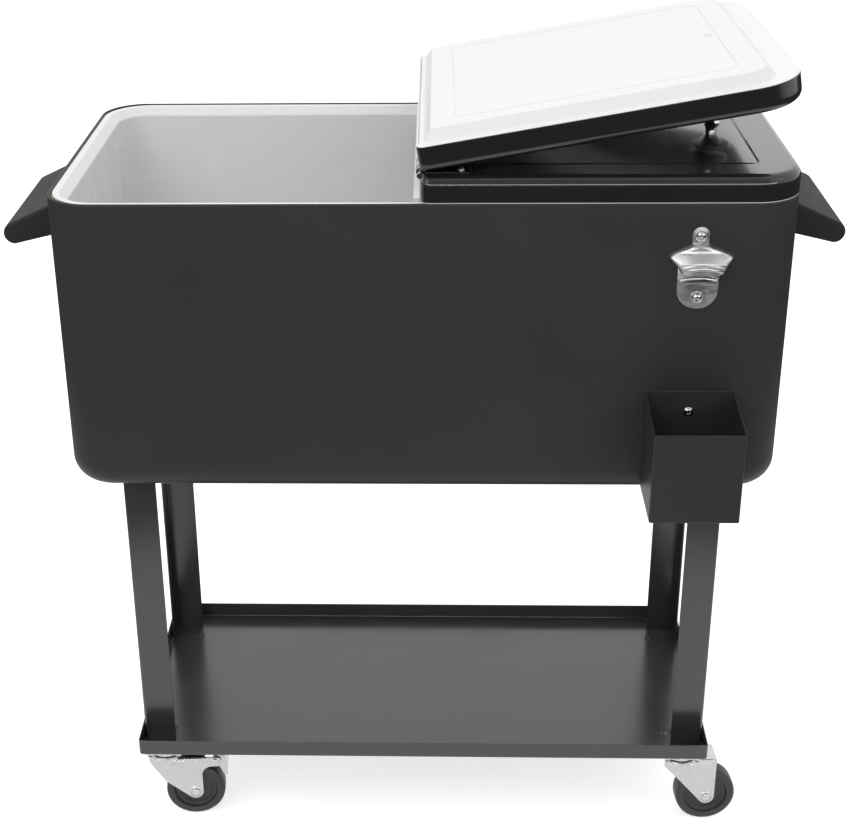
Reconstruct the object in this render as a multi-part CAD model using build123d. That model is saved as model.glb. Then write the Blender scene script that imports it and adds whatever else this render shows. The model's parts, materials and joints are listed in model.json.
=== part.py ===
from build123d import *
from math import atan, cos, degrees, radians, sin, tan
import os

# Rolling patio cooler: an insulated steel box on four legs, with a shelf tray,
# four swivel casters, two half lids on one middle hinge, handles at both ends,
# a bottle opener and a cap catcher. X runs along the box, Y from front to back.

# Box
body_length = 780.0
body_depth = 404.0
body_height = 331.0
body_corner_radius = 50.0
body_bottom_radius = 28.0
shell_gauge = 1.0
hem_width = 4.0
hem_height = 5.0

# Tub
tub_inset = 20.0
tub_floor_rise = 45.0
tub_wall = 2.5
tub_flange_drop = 1.0
tub_lip_bevel = 9.0
tub_corner_radius = 36.0
tub_bottom_radius = 24.0

# Cart
leg_length = 389.7
leg_front_width = 37.7
leg_side_width = 30.0
leg_gauge = 2.0
leg_inset_x = 3.8
leg_inset_y = 28.7
leg_head_bolt_inset = 16.0
tray_end_inset = 42.0
tray_side_inset = 43.5
tray_height = 21.3
tray_gauge = 1.5
tray_corner_radius = 4.0

# Casters
wheel_diameter = 74.0
wheel_width = 25.0
wheel_shoulder = 5.0
wheel_dish_radius = 24.0
wheel_dish_depth = 2.5
hub_radius = 9.0
caster_height = 106.8
caster_trail = 33.5
caster_inset_x = 28.5
caster_inset_y = 31.0
caster_plate_gauge = 2.5
caster_bolt_half_x = 18.0
caster_bolt_half_y = 20.0
caster_plate_margin = 8.0
race_radius = 20.0
race_wall = 1.3
race_hub_radius = 12.8
race_gap = 1.3
ball_radius = 2.5
ball_count = 12
crown_radius = 21.5
crown_gauge = 2.5
crown_gap = 0.3
kingpin_radius = 4.0
kingpin_head_radius = 7.0
kingpin_head_height = 3.0
cheek_gauge = 2.2
cheek_gap = 1.0
cheek_end_radius = 10.0
cheek_top_drop = 4.5
cheek_waist_height = 65.0
cheek_waist_x = 2.8
axle_radius = 3.0
axle_head_radius = 5.5
axle_head_height = 2.4
front_right_turn = 4.0
front_left_turn = 5.0
back_right_turn = 6.0
back_left_turn = -3.0

# Foot brake of the two left casters
brake_pivot_x = 59.5
brake_pivot_height = 82.0
brake_boss_radius = 7.0
brake_pin_radius = 2.5
brake_lever_gauge = 2.5
brake_lever_tip_x = 73.5
brake_lever_tip_height = 58.0
brake_lever_width = 24.0
brake_tread_length = 5.0

# Lids
lid_height = 28.0
lid_seat_gap = 0.3
lid_middle_gap = 1.0
lid_edge_radius = 8.0
lid_hinge_corner_radius = 9.0
lid_gauge = 1.0
lid_groove_front_inset = 45.0
lid_groove_end_inset = 43.0
lid_groove_hinge_inset = 60.0
lid_groove_width = 3.0
lid_groove_depth = 0.5
lid_open_angle = 170.0

# Lid liner
liner_wall = 2.0
liner_flange_width = 11.5
liner_flange_end_width = 25.0
liner_flange_hinge_width = 8.0
liner_plug_height = 11.5
liner_plug_run = 9.0
liner_plug_corner_radius = 30.0
liner_plug_hinge_radius = 10.0
liner_recess_inset = 25.0
liner_recess_depth = 2.5
liner_recess_radius = 14.0

# Knobs
knob_end_inset = 68.0
knob_rest_gap = 0.4
knob_head_radius = 20.75
knob_head_height = 8.5
knob_flat_radius = 11.0
knob_base_radius = 7.0
knob_waist_radius = 6.0
knob_collar_radius = 12.0
knob_screw_radius = 2.5
knob_screw_head_radius = 5.5
knob_screw_head_height = 2.0

# Hinge
hinge_rise = 1.5
hinge_pin_radius = 2.0
hinge_pin_overhang = 3.0
hinge_pin_cap_radius = 3.2
hinge_pin_cap_length = 2.0
hinge_barrel_radius = 4.0
hinge_knuckle_length = 8.0
hinge_knuckle_gap = 0.4
hinge_edge_inset = 36.0
hinge_leaf_reach = 50.0
hinge_leaf_gauge = 1.2
hinge_leaf_cutback = 0.6
hinge_screw_reach = 41.5
hinge_screw_spread = 14.0
hinge_screw_radius = 2.0
hinge_screw_head_radius = 3.4
hinge_screw_head_height = 1.6
hinge_plate_gauge = 1.2
hinge_plate_base = 30.0
hinge_plate_depth = 12.0
running_clearance = 0.05

# Middle bar
bar_width = 14.0
bar_height = 16.0
bar_drop = 0.5
bar_foot_height = 34.0
bar_foot_gauge = 2.5

# Handles
handle_length = 183.0
handle_top_drop = 29.0
handle_slope = 25.0
handle_nose_reach = 58.0
handle_nose_radius = 12.0
handle_end_rise = 14.0
handle_gauge = 1.5
handle_flange_height = 24.0
handle_rivet_spread = 70.0
handle_rivet_radius = 2.4
handle_rivet_head_radius = 4.8
handle_rivet_head_height = 2.2

# Bottle opener
opener_end_inset = 104.7
opener_top_drop = 24.0
opener_height = 89.0
opener_tab_width = 17.4
opener_wing_width = 64.0
opener_mouth_width = 42.0
opener_foot_width = 42.5
opener_hood_top_drop = 18.0
opener_wing_drop = 31.5
opener_mouth_drop = 51.0
opener_hood_reach = 17.0
opener_lip_height = 9.0
opener_plate_gauge = 2.0
opener_wall = 2.0
opener_top_screw_drop = 9.0
opener_foot_screw_drop = 76.0
opener_tooth_width = 14.0
opener_tooth_length = 4.0

# Cap catcher
catcher_width = 94.0
catcher_depth = 88.0
catcher_back_height = 112.0
catcher_front_height = 102.0
catcher_gauge = 1.2
catcher_bottom_rise = 12.0
catcher_screw_drop = 24.0

# Wall screws and cart bolts
wall_screw_radius = 2.5
wall_screw_head_radius = 4.5
wall_screw_head_height = 2.4
wall_screw_length = 12.0
cart_bolt_radius = 2.5
cart_bolt_head_radius = 4.2
cart_bolt_head_height = 2.8
cart_bolt_sink = 1.2
cart_nut_radius = 4.6
cart_nut_height = 4.0

# Drain
drain_y = 110.0
drain_tube_radius = 11.0
drain_bore_radius = 8.0
drain_flange_radius = 18.0
drain_flange_gauge = 1.5
drain_nut_radius = 17.0
drain_nut_height = 6.0
drain_tube_drop = 16.0
drain_cap_gap = 0.3
drain_cap_radius = 15.0
drain_cap_height = 13.0
drain_grip_count = 12
drain_grip_radius = 1.2

# One overrun serves every cut
overrun = 2.0

# Heights above the floor
deck_top = caster_height + tray_gauge
body_bottom = deck_top + leg_length
rim_top = body_bottom + body_height
tub_flange_top = rim_top - tub_flange_drop
tub_floor = body_bottom + tub_floor_rise
lid_bottom = rim_top + lid_seat_gap
lid_top = rim_top + lid_height
hinge_height = lid_top + hinge_rise
bar_top = rim_top - bar_drop
wheel_radius = wheel_diameter / 2

# Half sizes and places
half_length = body_length / 2
half_depth = body_depth / 2
half_tray_length = half_length - tray_end_inset
half_tray_depth = half_depth - tray_side_inset
leg_outer_x = half_tray_length - leg_inset_x
leg_outer_y = half_tray_depth - leg_inset_y
caster_x = half_tray_length - caster_inset_x
caster_y = half_tray_depth - caster_inset_y
hinge_y = half_depth - hinge_edge_inset
hinge_places = [-hinge_y, 0, hinge_y]
sides = [-1, 1]
lip_angle = 45
opener_x = half_length - opener_end_inset

# The open lid rests knob on knob, which sets how tall the knobs are.
knob_reach = half_length - knob_end_inset
rest_angle = radians((180 - lid_open_angle) / 2)
knob_height = (knob_reach - knob_flat_radius) * tan(rest_angle) + hinge_rise - knob_rest_gap / 2

# The origin lies on the floor under the middle of the whole outline, and the
# cap catcher makes that outline longer to the front.
front_reach = half_depth + catcher_depth
origin_shift = (front_reach - half_depth) / 2


# Small helpers
def block(low, high):
    size = [b - a for a, b in zip(low, high)]
    middle = [(a + b) / 2 for a, b in zip(low, high)]
    return Pos(*middle) * Box(*size)


def rod(start, end, radius):
    path = Vector(*end) - Vector(*start)
    plane = Plane(origin=Vector(*start), z_dir=path)
    return extrude(plane * Circle(radius), path.length)


def rounded_prism(low, high, radius):
    size_x = high[0] - low[0]
    size_y = high[1] - low[1]
    middle = Pos((low[0] + high[0]) / 2, (low[1] + high[1]) / 2, low[2])
    return extrude(middle * RectangleRounded(size_x, size_y, radius), high[2] - low[2])


def half_rounded_face(low, high, hinge_radius, end_radius):
    outline = Pos((low[0] + high[0]) / 2, (low[1] + high[1]) / 2) * Rectangle(
        high[0] - low[0],
        high[1] - low[1],
    )
    corners = outline.vertices().sort_by(Axis.X)
    outline = fillet(corners[:2], hinge_radius)
    corners = outline.vertices().sort_by(Axis.X)
    return fillet(corners[-2:], end_radius)


def flat_face_xz(points, y):
    wire = Polyline(*[(x, y, z) for x, z in points], close=True)
    return make_face(wire)


def screw(place, direction, shank_radius, shank_length, head_radius, head_height):
    # The head's underside is at the place and the shank runs along the direction.
    plane = Plane(origin=place, z_dir=direction)
    shank = extrude(plane * Circle(shank_radius), shank_length)
    head = extrude(plane * Circle(head_radius), -head_height)
    head_top = Vector(*place) - Vector(*direction).normalized() * head_height
    rims = head.edges().filter_by(GeomType.CIRCLE)
    outer_edge = rims.sort_by(lambda edge: (edge.center() - head_top).length)[0]
    head = fillet(outer_edge, head_height / 2)
    return shank + head


def export_node(name, *shapes):
    solids = []
    for shape in shapes:
        solids += shape.solids()
    moved = [Pos(0, origin_shift, 0) * solid for solid in solids]
    whole = moved[0] if len(moved) == 1 else Compound(children=moved)
    export_step(whole, os.path.join("parts", name + ".step"))


# Box: steel shell with a hemmed rim, moulded tub and the foam between them
def rounded_tank(inset, bottom, top, corner_radius, bottom_radius):
    low = (inset - half_length, inset - half_depth, bottom)
    high = (half_length - inset, half_depth - inset, top)
    tank = rounded_prism(low, high, corner_radius)
    return fillet(tank.faces().sort_by(Axis.Z)[0].edges(), bottom_radius)


def make_body_hollow():
    return rounded_tank(
        shell_gauge,
        body_bottom + shell_gauge,
        rim_top + overrun,
        body_corner_radius - shell_gauge,
        body_bottom_radius - shell_gauge,
    )


def make_hem():
    low = (-half_length, -half_depth, rim_top - hem_height)
    high = (half_length, half_depth, rim_top)
    ring = rounded_prism(low, high, body_corner_radius)
    inner_low = (hem_width - half_length, hem_width - half_depth, rim_top - hem_height - overrun)
    inner_high = (half_length - hem_width, half_depth - hem_width, rim_top + overrun)
    return ring - rounded_prism(inner_low, inner_high, body_corner_radius - hem_width)


def make_outer_shell():
    outside = rounded_tank(0, body_bottom, rim_top, body_corner_radius, body_bottom_radius)
    shell = outside - make_body_hollow() + make_hem()
    drain_hole = rod(
        (0, drain_y, body_bottom - overrun),
        (0, drain_y, body_bottom + overrun),
        drain_tube_radius,
    )
    shell -= drain_hole
    for place in leg_head_bolts():
        shell -= rod((*place, body_bottom - overrun), (*place, body_bottom + overrun), cart_bolt_radius)
    for bore in wall_screw_bores() + rivet_bores():
        shell -= bore
    return shell


def make_tub_outside():
    wall_inset = tub_inset - tub_wall
    tank = rounded_tank(
        wall_inset,
        tub_floor - tub_wall,
        tub_flange_top,
        tub_corner_radius + tub_wall,
        tub_bottom_radius + tub_wall,
    )
    low = (hem_width - half_length, hem_width - half_depth, tub_flange_top - tub_wall)
    high = (half_length - hem_width, half_depth - hem_width, tub_flange_top)
    tank += rounded_prism(low, high, body_corner_radius - hem_width)
    bevel_start = tub_flange_top - tub_lip_bevel + tub_wall - tub_wall / cos(radians(lip_angle))
    return tank + tub_bevel(wall_inset, bevel_start, low[2])


def tub_bevel(inset, bottom, top):
    # The tub widens evenly under its flange.
    plane = Pos(0, 0, bottom)
    outline = plane * RectangleRounded(
        body_length - 2 * inset,
        body_depth - 2 * inset,
        tub_corner_radius + tub_inset - inset,
    )
    return extrude(outline, top - bottom, taper=-lip_angle)


def make_tub_inside():
    tank = rounded_tank(tub_inset, tub_floor, tub_flange_top + overrun, tub_corner_radius, tub_bottom_radius)
    return tank + tub_bevel(tub_inset, tub_flange_top - tub_lip_bevel, tub_flange_top + overrun)


def make_inner_liner():
    liner = make_tub_outside() - make_tub_inside()
    liner -= rod(
        (0, drain_y, tub_floor - tub_wall - overrun),
        (0, drain_y, tub_floor + overrun),
        drain_tube_radius,
    )
    for bore in bar_screw_bores():
        liner -= bore
    return liner


def make_foam():
    foam = make_body_hollow() & block(
        (-half_length, -half_depth, body_bottom),
        (half_length, half_depth, tub_flange_top - tub_wall),
    )
    foam = foam - make_tub_outside() - make_hem()
    foam -= rod((0, drain_y, body_bottom), (0, drain_y, tub_floor), drain_tube_radius)
    nut_top = body_bottom + shell_gauge + cart_nut_height
    for place in leg_head_bolts():
        foam -= rod((*place, body_bottom), (*place, nut_top + overrun), cart_nut_radius)
    for bore in wall_screw_bores():
        foam -= bore
    return foam


# Legs of angle steel, each with a welded tab at head and foot
def leg_head_bolts():
    places = []
    for side_x in sides:
        for side_y in sides:
            x = side_x * (leg_outer_x - leg_head_bolt_inset)
            y = side_y * (leg_outer_y - leg_head_bolt_inset)
            places.append((x, y))
    return places


def caster_bolt_places():
    places = []
    for side_x in sides:
        for side_y in sides:
            for step_x in sides:
                for step_y in sides:
                    x = side_x * caster_x + step_x * caster_bolt_half_x
                    y = side_y * caster_y + step_y * caster_bolt_half_y
                    places.append((x, y))
    return places


def make_leg():
    # The right rear leg; the others are its mirror images.
    high = (leg_outer_x, leg_outer_y)
    back_low = (leg_outer_x - leg_front_width, leg_outer_y - leg_gauge)
    side_low = (leg_outer_x - leg_gauge, leg_outer_y - leg_side_width)
    leg = block((*back_low, deck_top), (*high, body_bottom))
    leg += block((*side_low, deck_top), (*high, body_bottom))
    tab_low = (leg_outer_x - leg_front_width, leg_outer_y - leg_side_width)
    leg += block((*tab_low, deck_top), (*high, deck_top + leg_gauge))
    leg += block((*tab_low, body_bottom - leg_gauge), (*high, body_bottom))
    for place in leg_head_bolts() + caster_bolt_places():
        leg -= rod((*place, deck_top - overrun), (*place, body_bottom + overrun), cart_bolt_radius)
    for place in caster_bolt_places():
        if caster_bolt_seat(place) > deck_top:
            leg -= flush_head(place)
    return leg


def place_leg(side_x, side_y):
    leg = make_leg()
    if side_x < 0:
        leg = mirror(leg, about=Plane.YZ)
    if side_y < 0:
        leg = mirror(leg, about=Plane.XZ)
    return leg


def make_tray():
    low = (-half_tray_length, -half_tray_depth, caster_height)
    high = (half_tray_length, half_tray_depth, caster_height + tray_height)
    tray = rounded_prism(low, high, tray_corner_radius)
    tray = fillet(tray.faces().sort_by(Axis.Z)[0].edges(), tray_gauge)
    inner_low = (tray_gauge - half_tray_length, tray_gauge - half_tray_depth, deck_top)
    inner_high = (half_tray_length - tray_gauge, half_tray_depth - tray_gauge, high[2] + overrun)
    tray -= rounded_prism(inner_low, inner_high, tray_corner_radius - tray_gauge)
    for place in caster_bolt_places():
        tray -= rod((*place, caster_height - overrun), (*place, deck_top + overrun), cart_bolt_radius)
        if caster_bolt_seat(place) == deck_top:
            tray -= flush_head(place)
    return tray


def make_leg_bolts():
    # Each bolt clamps a leg's head tab to the box, with its nut in the foam.
    pieces = [make_nut(place, body_bottom + shell_gauge) for place in leg_head_bolts()]
    for place in leg_head_bolts():
        start = (*place, body_bottom - leg_gauge)
        length = leg_gauge + shell_gauge + cart_nut_height
        pieces.append(
            screw(start, (0, 0, 1), cart_bolt_radius, length, cart_bolt_head_radius, cart_bolt_head_height),
        )
    return pieces


def make_nut(place, bottom):
    plane = Pos(*place, bottom)
    nut = extrude(plane * RegularPolygon(cart_nut_radius, 6), cart_nut_height)
    return nut - rod(
        (*place, bottom - overrun),
        (*place, bottom + cart_nut_height + overrun),
        cart_bolt_radius,
    )


def caster_bolt_seat(place):
    # One bolt of each caster also clamps its leg's foot tab, the others only the deck.
    inside_x = leg_outer_x - leg_front_width < abs(place[0]) < leg_outer_x
    inside_y = leg_outer_y - leg_side_width < abs(place[1]) < leg_outer_y
    if inside_x and inside_y:
        return deck_top + leg_gauge
    return deck_top


def flush_head(place):
    # A flat head sunk level with the metal around it.
    middle = caster_bolt_seat(place) - cart_bolt_sink / 2
    return Pos(*place, middle) * Cone(cart_bolt_radius, cart_bolt_head_radius, cart_bolt_sink)


def make_caster_bolts():
    low = caster_height - caster_plate_gauge - cart_nut_height
    pieces = []
    for place in caster_bolt_places():
        shank = rod((*place, low), (*place, caster_bolt_seat(place)), cart_bolt_radius)
        pieces.append(shank + flush_head(place))
    return pieces


def make_caster_nuts():
    bottom = caster_height - caster_plate_gauge - cart_nut_height
    return [make_nut(place, bottom) for place in caster_bolt_places()]


# Casters, first about their own swivel axis, with the wheel trailing along +X
plate_bottom = caster_height - caster_plate_gauge
crown_top = plate_bottom - (race_gap + 2 * ball_radius + 2 * crown_gap) - race_wall * 3
crown_bottom = crown_top - crown_gauge
race_bottom = crown_top + race_gap
ball_height = crown_top + crown_gap + ball_radius
ball_circle = (race_hub_radius + race_radius - race_wall) / 2
cheek_inner = wheel_width / 2 + cheek_gap
cheek_outer = cheek_inner + cheek_gauge


def make_caster_plate():
    half_x = caster_bolt_half_x + caster_plate_margin
    half_y = caster_bolt_half_y + caster_plate_margin
    plate = rounded_prism(
        (-half_x, -half_y, plate_bottom),
        (half_x, half_y, caster_height),
        caster_plate_margin,
    )
    cup = rod((0, 0, race_bottom), (0, 0, plate_bottom), race_radius)
    track = rod((0, 0, race_bottom), (0, 0, ball_height + ball_radius + crown_gap), race_radius - race_wall)
    track -= rod((0, 0, race_bottom - overrun), (0, 0, plate_bottom), race_hub_radius)
    plate = plate + cup - track
    plate -= rod((0, 0, race_bottom - overrun), (0, 0, plate_bottom), kingpin_radius)
    for step_x in sides:
        for step_y in sides:
            x = step_x * caster_bolt_half_x
            y = step_y * caster_bolt_half_y
            plate -= rod((x, y, plate_bottom - overrun), (x, y, caster_height + overrun), cart_bolt_radius)
    return plate


def make_kingpin():
    head_top = crown_bottom - crown_gap
    pin = rod((0, 0, head_top), (0, 0, plate_bottom), kingpin_radius)
    return pin + rod((0, 0, head_top - kingpin_head_height), (0, 0, head_top), kingpin_head_radius)


def make_balls():
    balls = []
    for i in range(ball_count):
        turn = Rot(0, 0, 360 * i / ball_count)
        balls.append(turn * Pos(ball_circle, 0, ball_height) * Sphere(ball_radius))
    return balls


def plain_cheek_outline():
    end_back = caster_trail + cheek_end_radius
    drop = cheek_end_radius * 0.57
    lead = cheek_end_radius * 0.82
    return [
        (-crown_radius, crown_top),
        (-crown_radius, crown_bottom - cheek_top_drop),
        (-cheek_waist_x, cheek_waist_height),
        (caster_trail - lead, wheel_radius - drop),
        (end_back, wheel_radius),
        (end_back, crown_top),
    ]


def braked_cheek_outline():
    # A second arm runs out to the brake's pivot, over a curved cut-out.
    drop = cheek_end_radius * 0.57
    lead = cheek_end_radius * 0.82
    arm_bottom = brake_pivot_height - brake_boss_radius
    arm_top = brake_pivot_height + brake_boss_radius
    return [
        (-crown_radius, crown_top),
        (-crown_radius, crown_bottom - cheek_top_drop),
        (-cheek_waist_x, cheek_waist_height - cheek_end_radius),
        (caster_trail - lead, wheel_radius - drop),
        (caster_trail + cheek_end_radius, wheel_radius),
        (caster_trail + cheek_end_radius * 0.75, arm_bottom - cheek_end_radius),
        (caster_trail + cheek_end_radius * 2, arm_bottom - cheek_top_drop * 0.5),
        (brake_pivot_x, arm_bottom),
        (brake_pivot_x, arm_top),
        (brake_pivot_x - cheek_end_radius * 1.5, crown_top),
    ]


def make_fork(braked):
    outline = braked_cheek_outline() if braked else plain_cheek_outline()
    cheek = extrude(flat_face_xz(outline, 0), cheek_gauge / 2, both=True)
    half = cheek_gauge / 2
    cheek += rod((caster_trail, -half, wheel_radius), (caster_trail, half, wheel_radius), cheek_end_radius)
    if braked:
        cheek += rod(
            (brake_pivot_x, -half, brake_pivot_height),
            (brake_pivot_x, half, brake_pivot_height),
            brake_boss_radius,
        )
    middle_y = cheek_inner + half
    crown = rod((0, 0, crown_bottom), (0, 0, crown_top), crown_radius)
    crown_end = caster_trail + cheek_end_radius
    crown += block((0, -cheek_outer, crown_bottom), (crown_end, cheek_outer, crown_top))
    fork = crown + Pos(0, middle_y, 0) * cheek + Pos(0, -middle_y, 0) * cheek
    fork -= rod(
        (0, 0, crown_bottom - overrun),
        (0, 0, crown_top + overrun),
        kingpin_radius + running_clearance,
    )
    reach = cheek_outer + overrun
    fork -= rod((caster_trail, -reach, wheel_radius), (caster_trail, reach, wheel_radius), axle_radius)
    if braked:
        fork -= rod(
            (brake_pivot_x, -reach, brake_pivot_height),
            (brake_pivot_x, reach, brake_pivot_height),
            brake_pin_radius,
        )
    return fork


def make_wheel():
    half = wheel_width / 2
    tyre = rod((caster_trail, -half, wheel_radius), (caster_trail, half, wheel_radius), wheel_radius)
    rim_edges = tyre.edges().filter_by(GeomType.CIRCLE)
    tyre = fillet(rim_edges, wheel_shoulder)
    for side in sides:
        floor = side * (half - wheel_dish_depth)
        face = side * (half + overrun)
        dish = rod((caster_trail, floor, wheel_radius), (caster_trail, face, wheel_radius), wheel_dish_radius)
        dish -= rod(
            (caster_trail, floor, wheel_radius),
            (caster_trail, side * half, wheel_radius),
            hub_radius,
        )
        tyre -= dish
    bore = axle_radius + running_clearance
    return tyre - rod(
        (caster_trail, -half - overrun, wheel_radius),
        (caster_trail, half + overrun, wheel_radius),
        bore,
    )


def make_cross_pin(x, z, radius, head_radius, head_height):
    pin = rod((x, -cheek_outer, z), (x, cheek_outer, z), radius)
    for side in sides:
        head = rod((x, side * cheek_outer, z), (x, side * (cheek_outer + head_height), z), head_radius)
        rim = head.edges().filter_by(GeomType.CIRCLE).sort_by(lambda edge: abs(edge.center().Y))[-1]
        pin += fillet(rim, head_height / 2)
    return pin


def make_brake_lever():
    # A pressed plate that hangs behind the wheel, with a tread to step on.
    half = brake_lever_width / 2
    top = (brake_pivot_x + brake_boss_radius * 0.5, brake_pivot_height)
    tip = (brake_lever_tip_x, brake_lever_tip_height)
    face = flat_face_xz(
        [
            (brake_pivot_x, brake_pivot_height + brake_pin_radius * 2),
            (top[0] + brake_lever_gauge, brake_pivot_height + brake_pin_radius * 2),
            (tip[0], tip[1] + brake_lever_gauge),
            (tip[0] + brake_tread_length, tip[1] + brake_lever_gauge * 1.5),
            (tip[0] + brake_tread_length, tip[1] + brake_lever_gauge * 0.5),
            (tip[0] - brake_lever_gauge * 0.4, tip[1]),
            (top[0], brake_pivot_height - brake_pin_radius * 2),
            (brake_pivot_x, brake_pivot_height - brake_pin_radius * 2),
        ],
        0,
    )
    lever = extrude(face, half, both=True)
    boss = brake_pin_radius * 2
    lever += rod((brake_pivot_x, -half, brake_pivot_height), (brake_pivot_x, half, brake_pivot_height), boss)
    bore = brake_pin_radius + running_clearance
    reach = half + overrun
    return lever - rod(
        (brake_pivot_x, -reach, brake_pivot_height),
        (brake_pivot_x, reach, brake_pivot_height),
        bore,
    )


caster_stations = {
    "front_right": (caster_x, -caster_y, front_right_turn, False),
    "front_left": (-caster_x, -caster_y, front_left_turn, True),
    "back_right": (caster_x, caster_y, back_right_turn, False),
    "back_left": (-caster_x, caster_y, back_left_turn, True),
}


# Lids, first as the right lid lies closed
def lid_face(inset, z):
    low = (lid_middle_gap + inset, inset - half_depth)
    high = (half_length - inset, half_depth - inset)
    face = half_rounded_face(low, high, lid_hinge_corner_radius - inset, body_corner_radius - inset)
    return Pos(0, 0, z) * face


def lid_prism(inset, bottom, top):
    prism = extrude(lid_face(inset, bottom), top - bottom)
    return fillet(prism.faces().sort_by(Axis.Z)[-1].edges(), lid_edge_radius - inset)


def groove_loop():
    low_x = lid_groove_hinge_inset
    high_x = half_length - lid_groove_end_inset
    half_y = half_depth - lid_groove_front_inset
    half_width = lid_groove_width / 2
    floor = lid_top - lid_groove_depth
    outer_low = (low_x - half_width, -half_y - half_width, floor)
    outer_high = (high_x + half_width, half_y + half_width, lid_top + overrun)
    inner_low = (low_x + half_width, half_width - half_y, floor - overrun)
    inner_high = (high_x - half_width, half_y - half_width, lid_top + overrun)
    radius = lid_groove_width
    return rounded_prism(outer_low, outer_high, radius) - rounded_prism(inner_low, inner_high, radius / 2)


def knob_bore():
    return rod(
        (knob_reach, 0, lid_bottom - liner_plug_height - overrun),
        (knob_reach, 0, lid_top + overrun),
        knob_screw_radius,
    )


def hinge_screw_places():
    places = []
    for hinge in hinge_places:
        for side in sides:
            places.append((hinge_screw_reach, hinge + side * hinge_screw_spread))
    return places


def hinge_screw_bores():
    bores = []
    for place in hinge_screw_places():
        bores.append(
            rod((*place, lid_top - wall_screw_length), (*place, lid_top + overrun), hinge_screw_radius)
        )
    return bores


def make_lid_shell():
    shell = lid_prism(0, lid_bottom, lid_top) - lid_prism(
        lid_gauge,
        lid_bottom - overrun,
        lid_top - lid_gauge,
    )
    shell = shell - groove_loop() - knob_bore()
    for bore in hinge_screw_bores():
        shell -= bore
    return shell


def plug_solid(inset):
    low = (
        lid_middle_gap + liner_flange_hinge_width + inset,
        liner_flange_width + lid_gauge - half_depth + inset,
    )
    high = (half_length - liner_flange_end_width - inset, half_depth - liner_flange_width - lid_gauge - inset)
    face = half_rounded_face(low, high, liner_plug_hinge_radius - inset, liner_plug_corner_radius - inset)
    slope = degrees(atan(liner_plug_run / liner_plug_height))
    plane = Pos(0, 0, lid_bottom)
    return extrude(plane * face, -(liner_plug_height - inset), taper=slope)


def liner_recess():
    margin = liner_plug_run + liner_recess_inset
    low = (
        lid_middle_gap + liner_flange_hinge_width + margin,
        liner_flange_width + lid_gauge - half_depth + margin,
    )
    high = (
        half_length - liner_flange_end_width - margin,
        half_depth - liner_flange_width - lid_gauge - margin,
    )
    bottom = lid_bottom - liner_plug_height
    return rounded_prism((*low, bottom - overrun), (*high, bottom + liner_recess_depth), liner_recess_radius)


def make_liner_pan():
    # The pan is thicker than its recess is deep, so the recess leaves a full wall.
    floor_top = lid_bottom - liner_plug_height + liner_recess_depth + liner_wall
    pan = plug_solid(0)
    hollow = plug_solid(liner_wall) & block(
        (0, -half_depth, floor_top),
        (half_length, half_depth, lid_top),
    )
    flange = extrude(lid_face(lid_gauge, lid_bottom), liner_wall)
    opening = extrude(plug_top_face(liner_wall), liner_wall)
    return pan - hollow + (flange - opening)


def plug_top_face(inset):
    low = (
        lid_middle_gap + liner_flange_hinge_width + inset,
        liner_flange_width + lid_gauge - half_depth + inset,
    )
    high = (half_length - liner_flange_end_width - inset, half_depth - liner_flange_width - lid_gauge - inset)
    face = half_rounded_face(low, high, liner_plug_hinge_radius - inset, liner_plug_corner_radius - inset)
    return Pos(0, 0, lid_bottom) * face


def make_lid_liner():
    return make_liner_pan() - liner_recess() - knob_bore()


def make_lid_foam():
    cavity = lid_prism(lid_gauge, lid_bottom - overrun, lid_top - lid_gauge)
    upper = cavity & block((0, -half_depth, lid_bottom + liner_wall), (half_length, half_depth, lid_top))
    floor_top = lid_bottom - liner_plug_height + liner_recess_depth + liner_wall
    lower = plug_solid(liner_wall) & block((0, -half_depth, floor_top), (half_length, half_depth, lid_top))
    lower += extrude(plug_top_face(liner_wall), liner_wall)
    foam = upper + lower - knob_bore()
    for bore in hinge_screw_bores():
        foam -= bore
    return foam


def make_knob_neck():
    neck_top = lid_top + knob_height - knob_head_height
    profile = make_face(
        Line((0, 0, lid_top), (knob_base_radius, 0, lid_top))
        + Spline(
            (knob_base_radius, 0, lid_top),
            (knob_waist_radius, 0, lid_top + (neck_top - lid_top) * 0.4),
            (knob_collar_radius, 0, neck_top),
        )
        + Line((knob_collar_radius, 0, neck_top), (0, 0, neck_top))
        + Line((0, 0, neck_top), (0, 0, lid_top))
    )
    neck = revolve(profile, Axis.Z)
    return Pos(knob_reach, 0, 0) * neck - knob_bore_to(neck_top)


def knob_bore_to(height):
    return rod((knob_reach, 0, lid_top - overrun), (knob_reach, 0, height), knob_screw_radius)


def make_knob_head():
    bottom = lid_top + knob_height - knob_head_height
    top = lid_top + knob_height
    head = rod((knob_reach, 0, bottom), (knob_reach, 0, top), knob_head_radius)
    rims = head.edges().filter_by(GeomType.CIRCLE).sort_by(Axis.Z)
    head = chamfer(rims[-1], knob_head_height * 0.22, knob_head_radius - knob_flat_radius)
    rims = head.edges().filter_by(GeomType.CIRCLE).sort_by(Axis.Z)
    head = fillet(rims[0], knob_head_height * 0.25)
    return head


def make_knob_screw():
    seat = lid_bottom - liner_plug_height + liner_recess_depth
    length = lid_top + knob_height - knob_head_height - seat
    start = (knob_reach, 0, seat)
    return screw(start, (0, 0, 1), knob_screw_radius, length, knob_screw_head_radius, knob_screw_head_height)


# Hinge: the fixed plates carry one pin, and knuckles of both lids turn on it
knuckle_pitch = hinge_knuckle_length + hinge_knuckle_gap


def knuckle(hinge, slot):
    middle = hinge + slot * knuckle_pitch
    half = hinge_knuckle_length / 2
    return rod((0, middle - half, hinge_height), (0, middle + half, hinge_height), hinge_barrel_radius)


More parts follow.
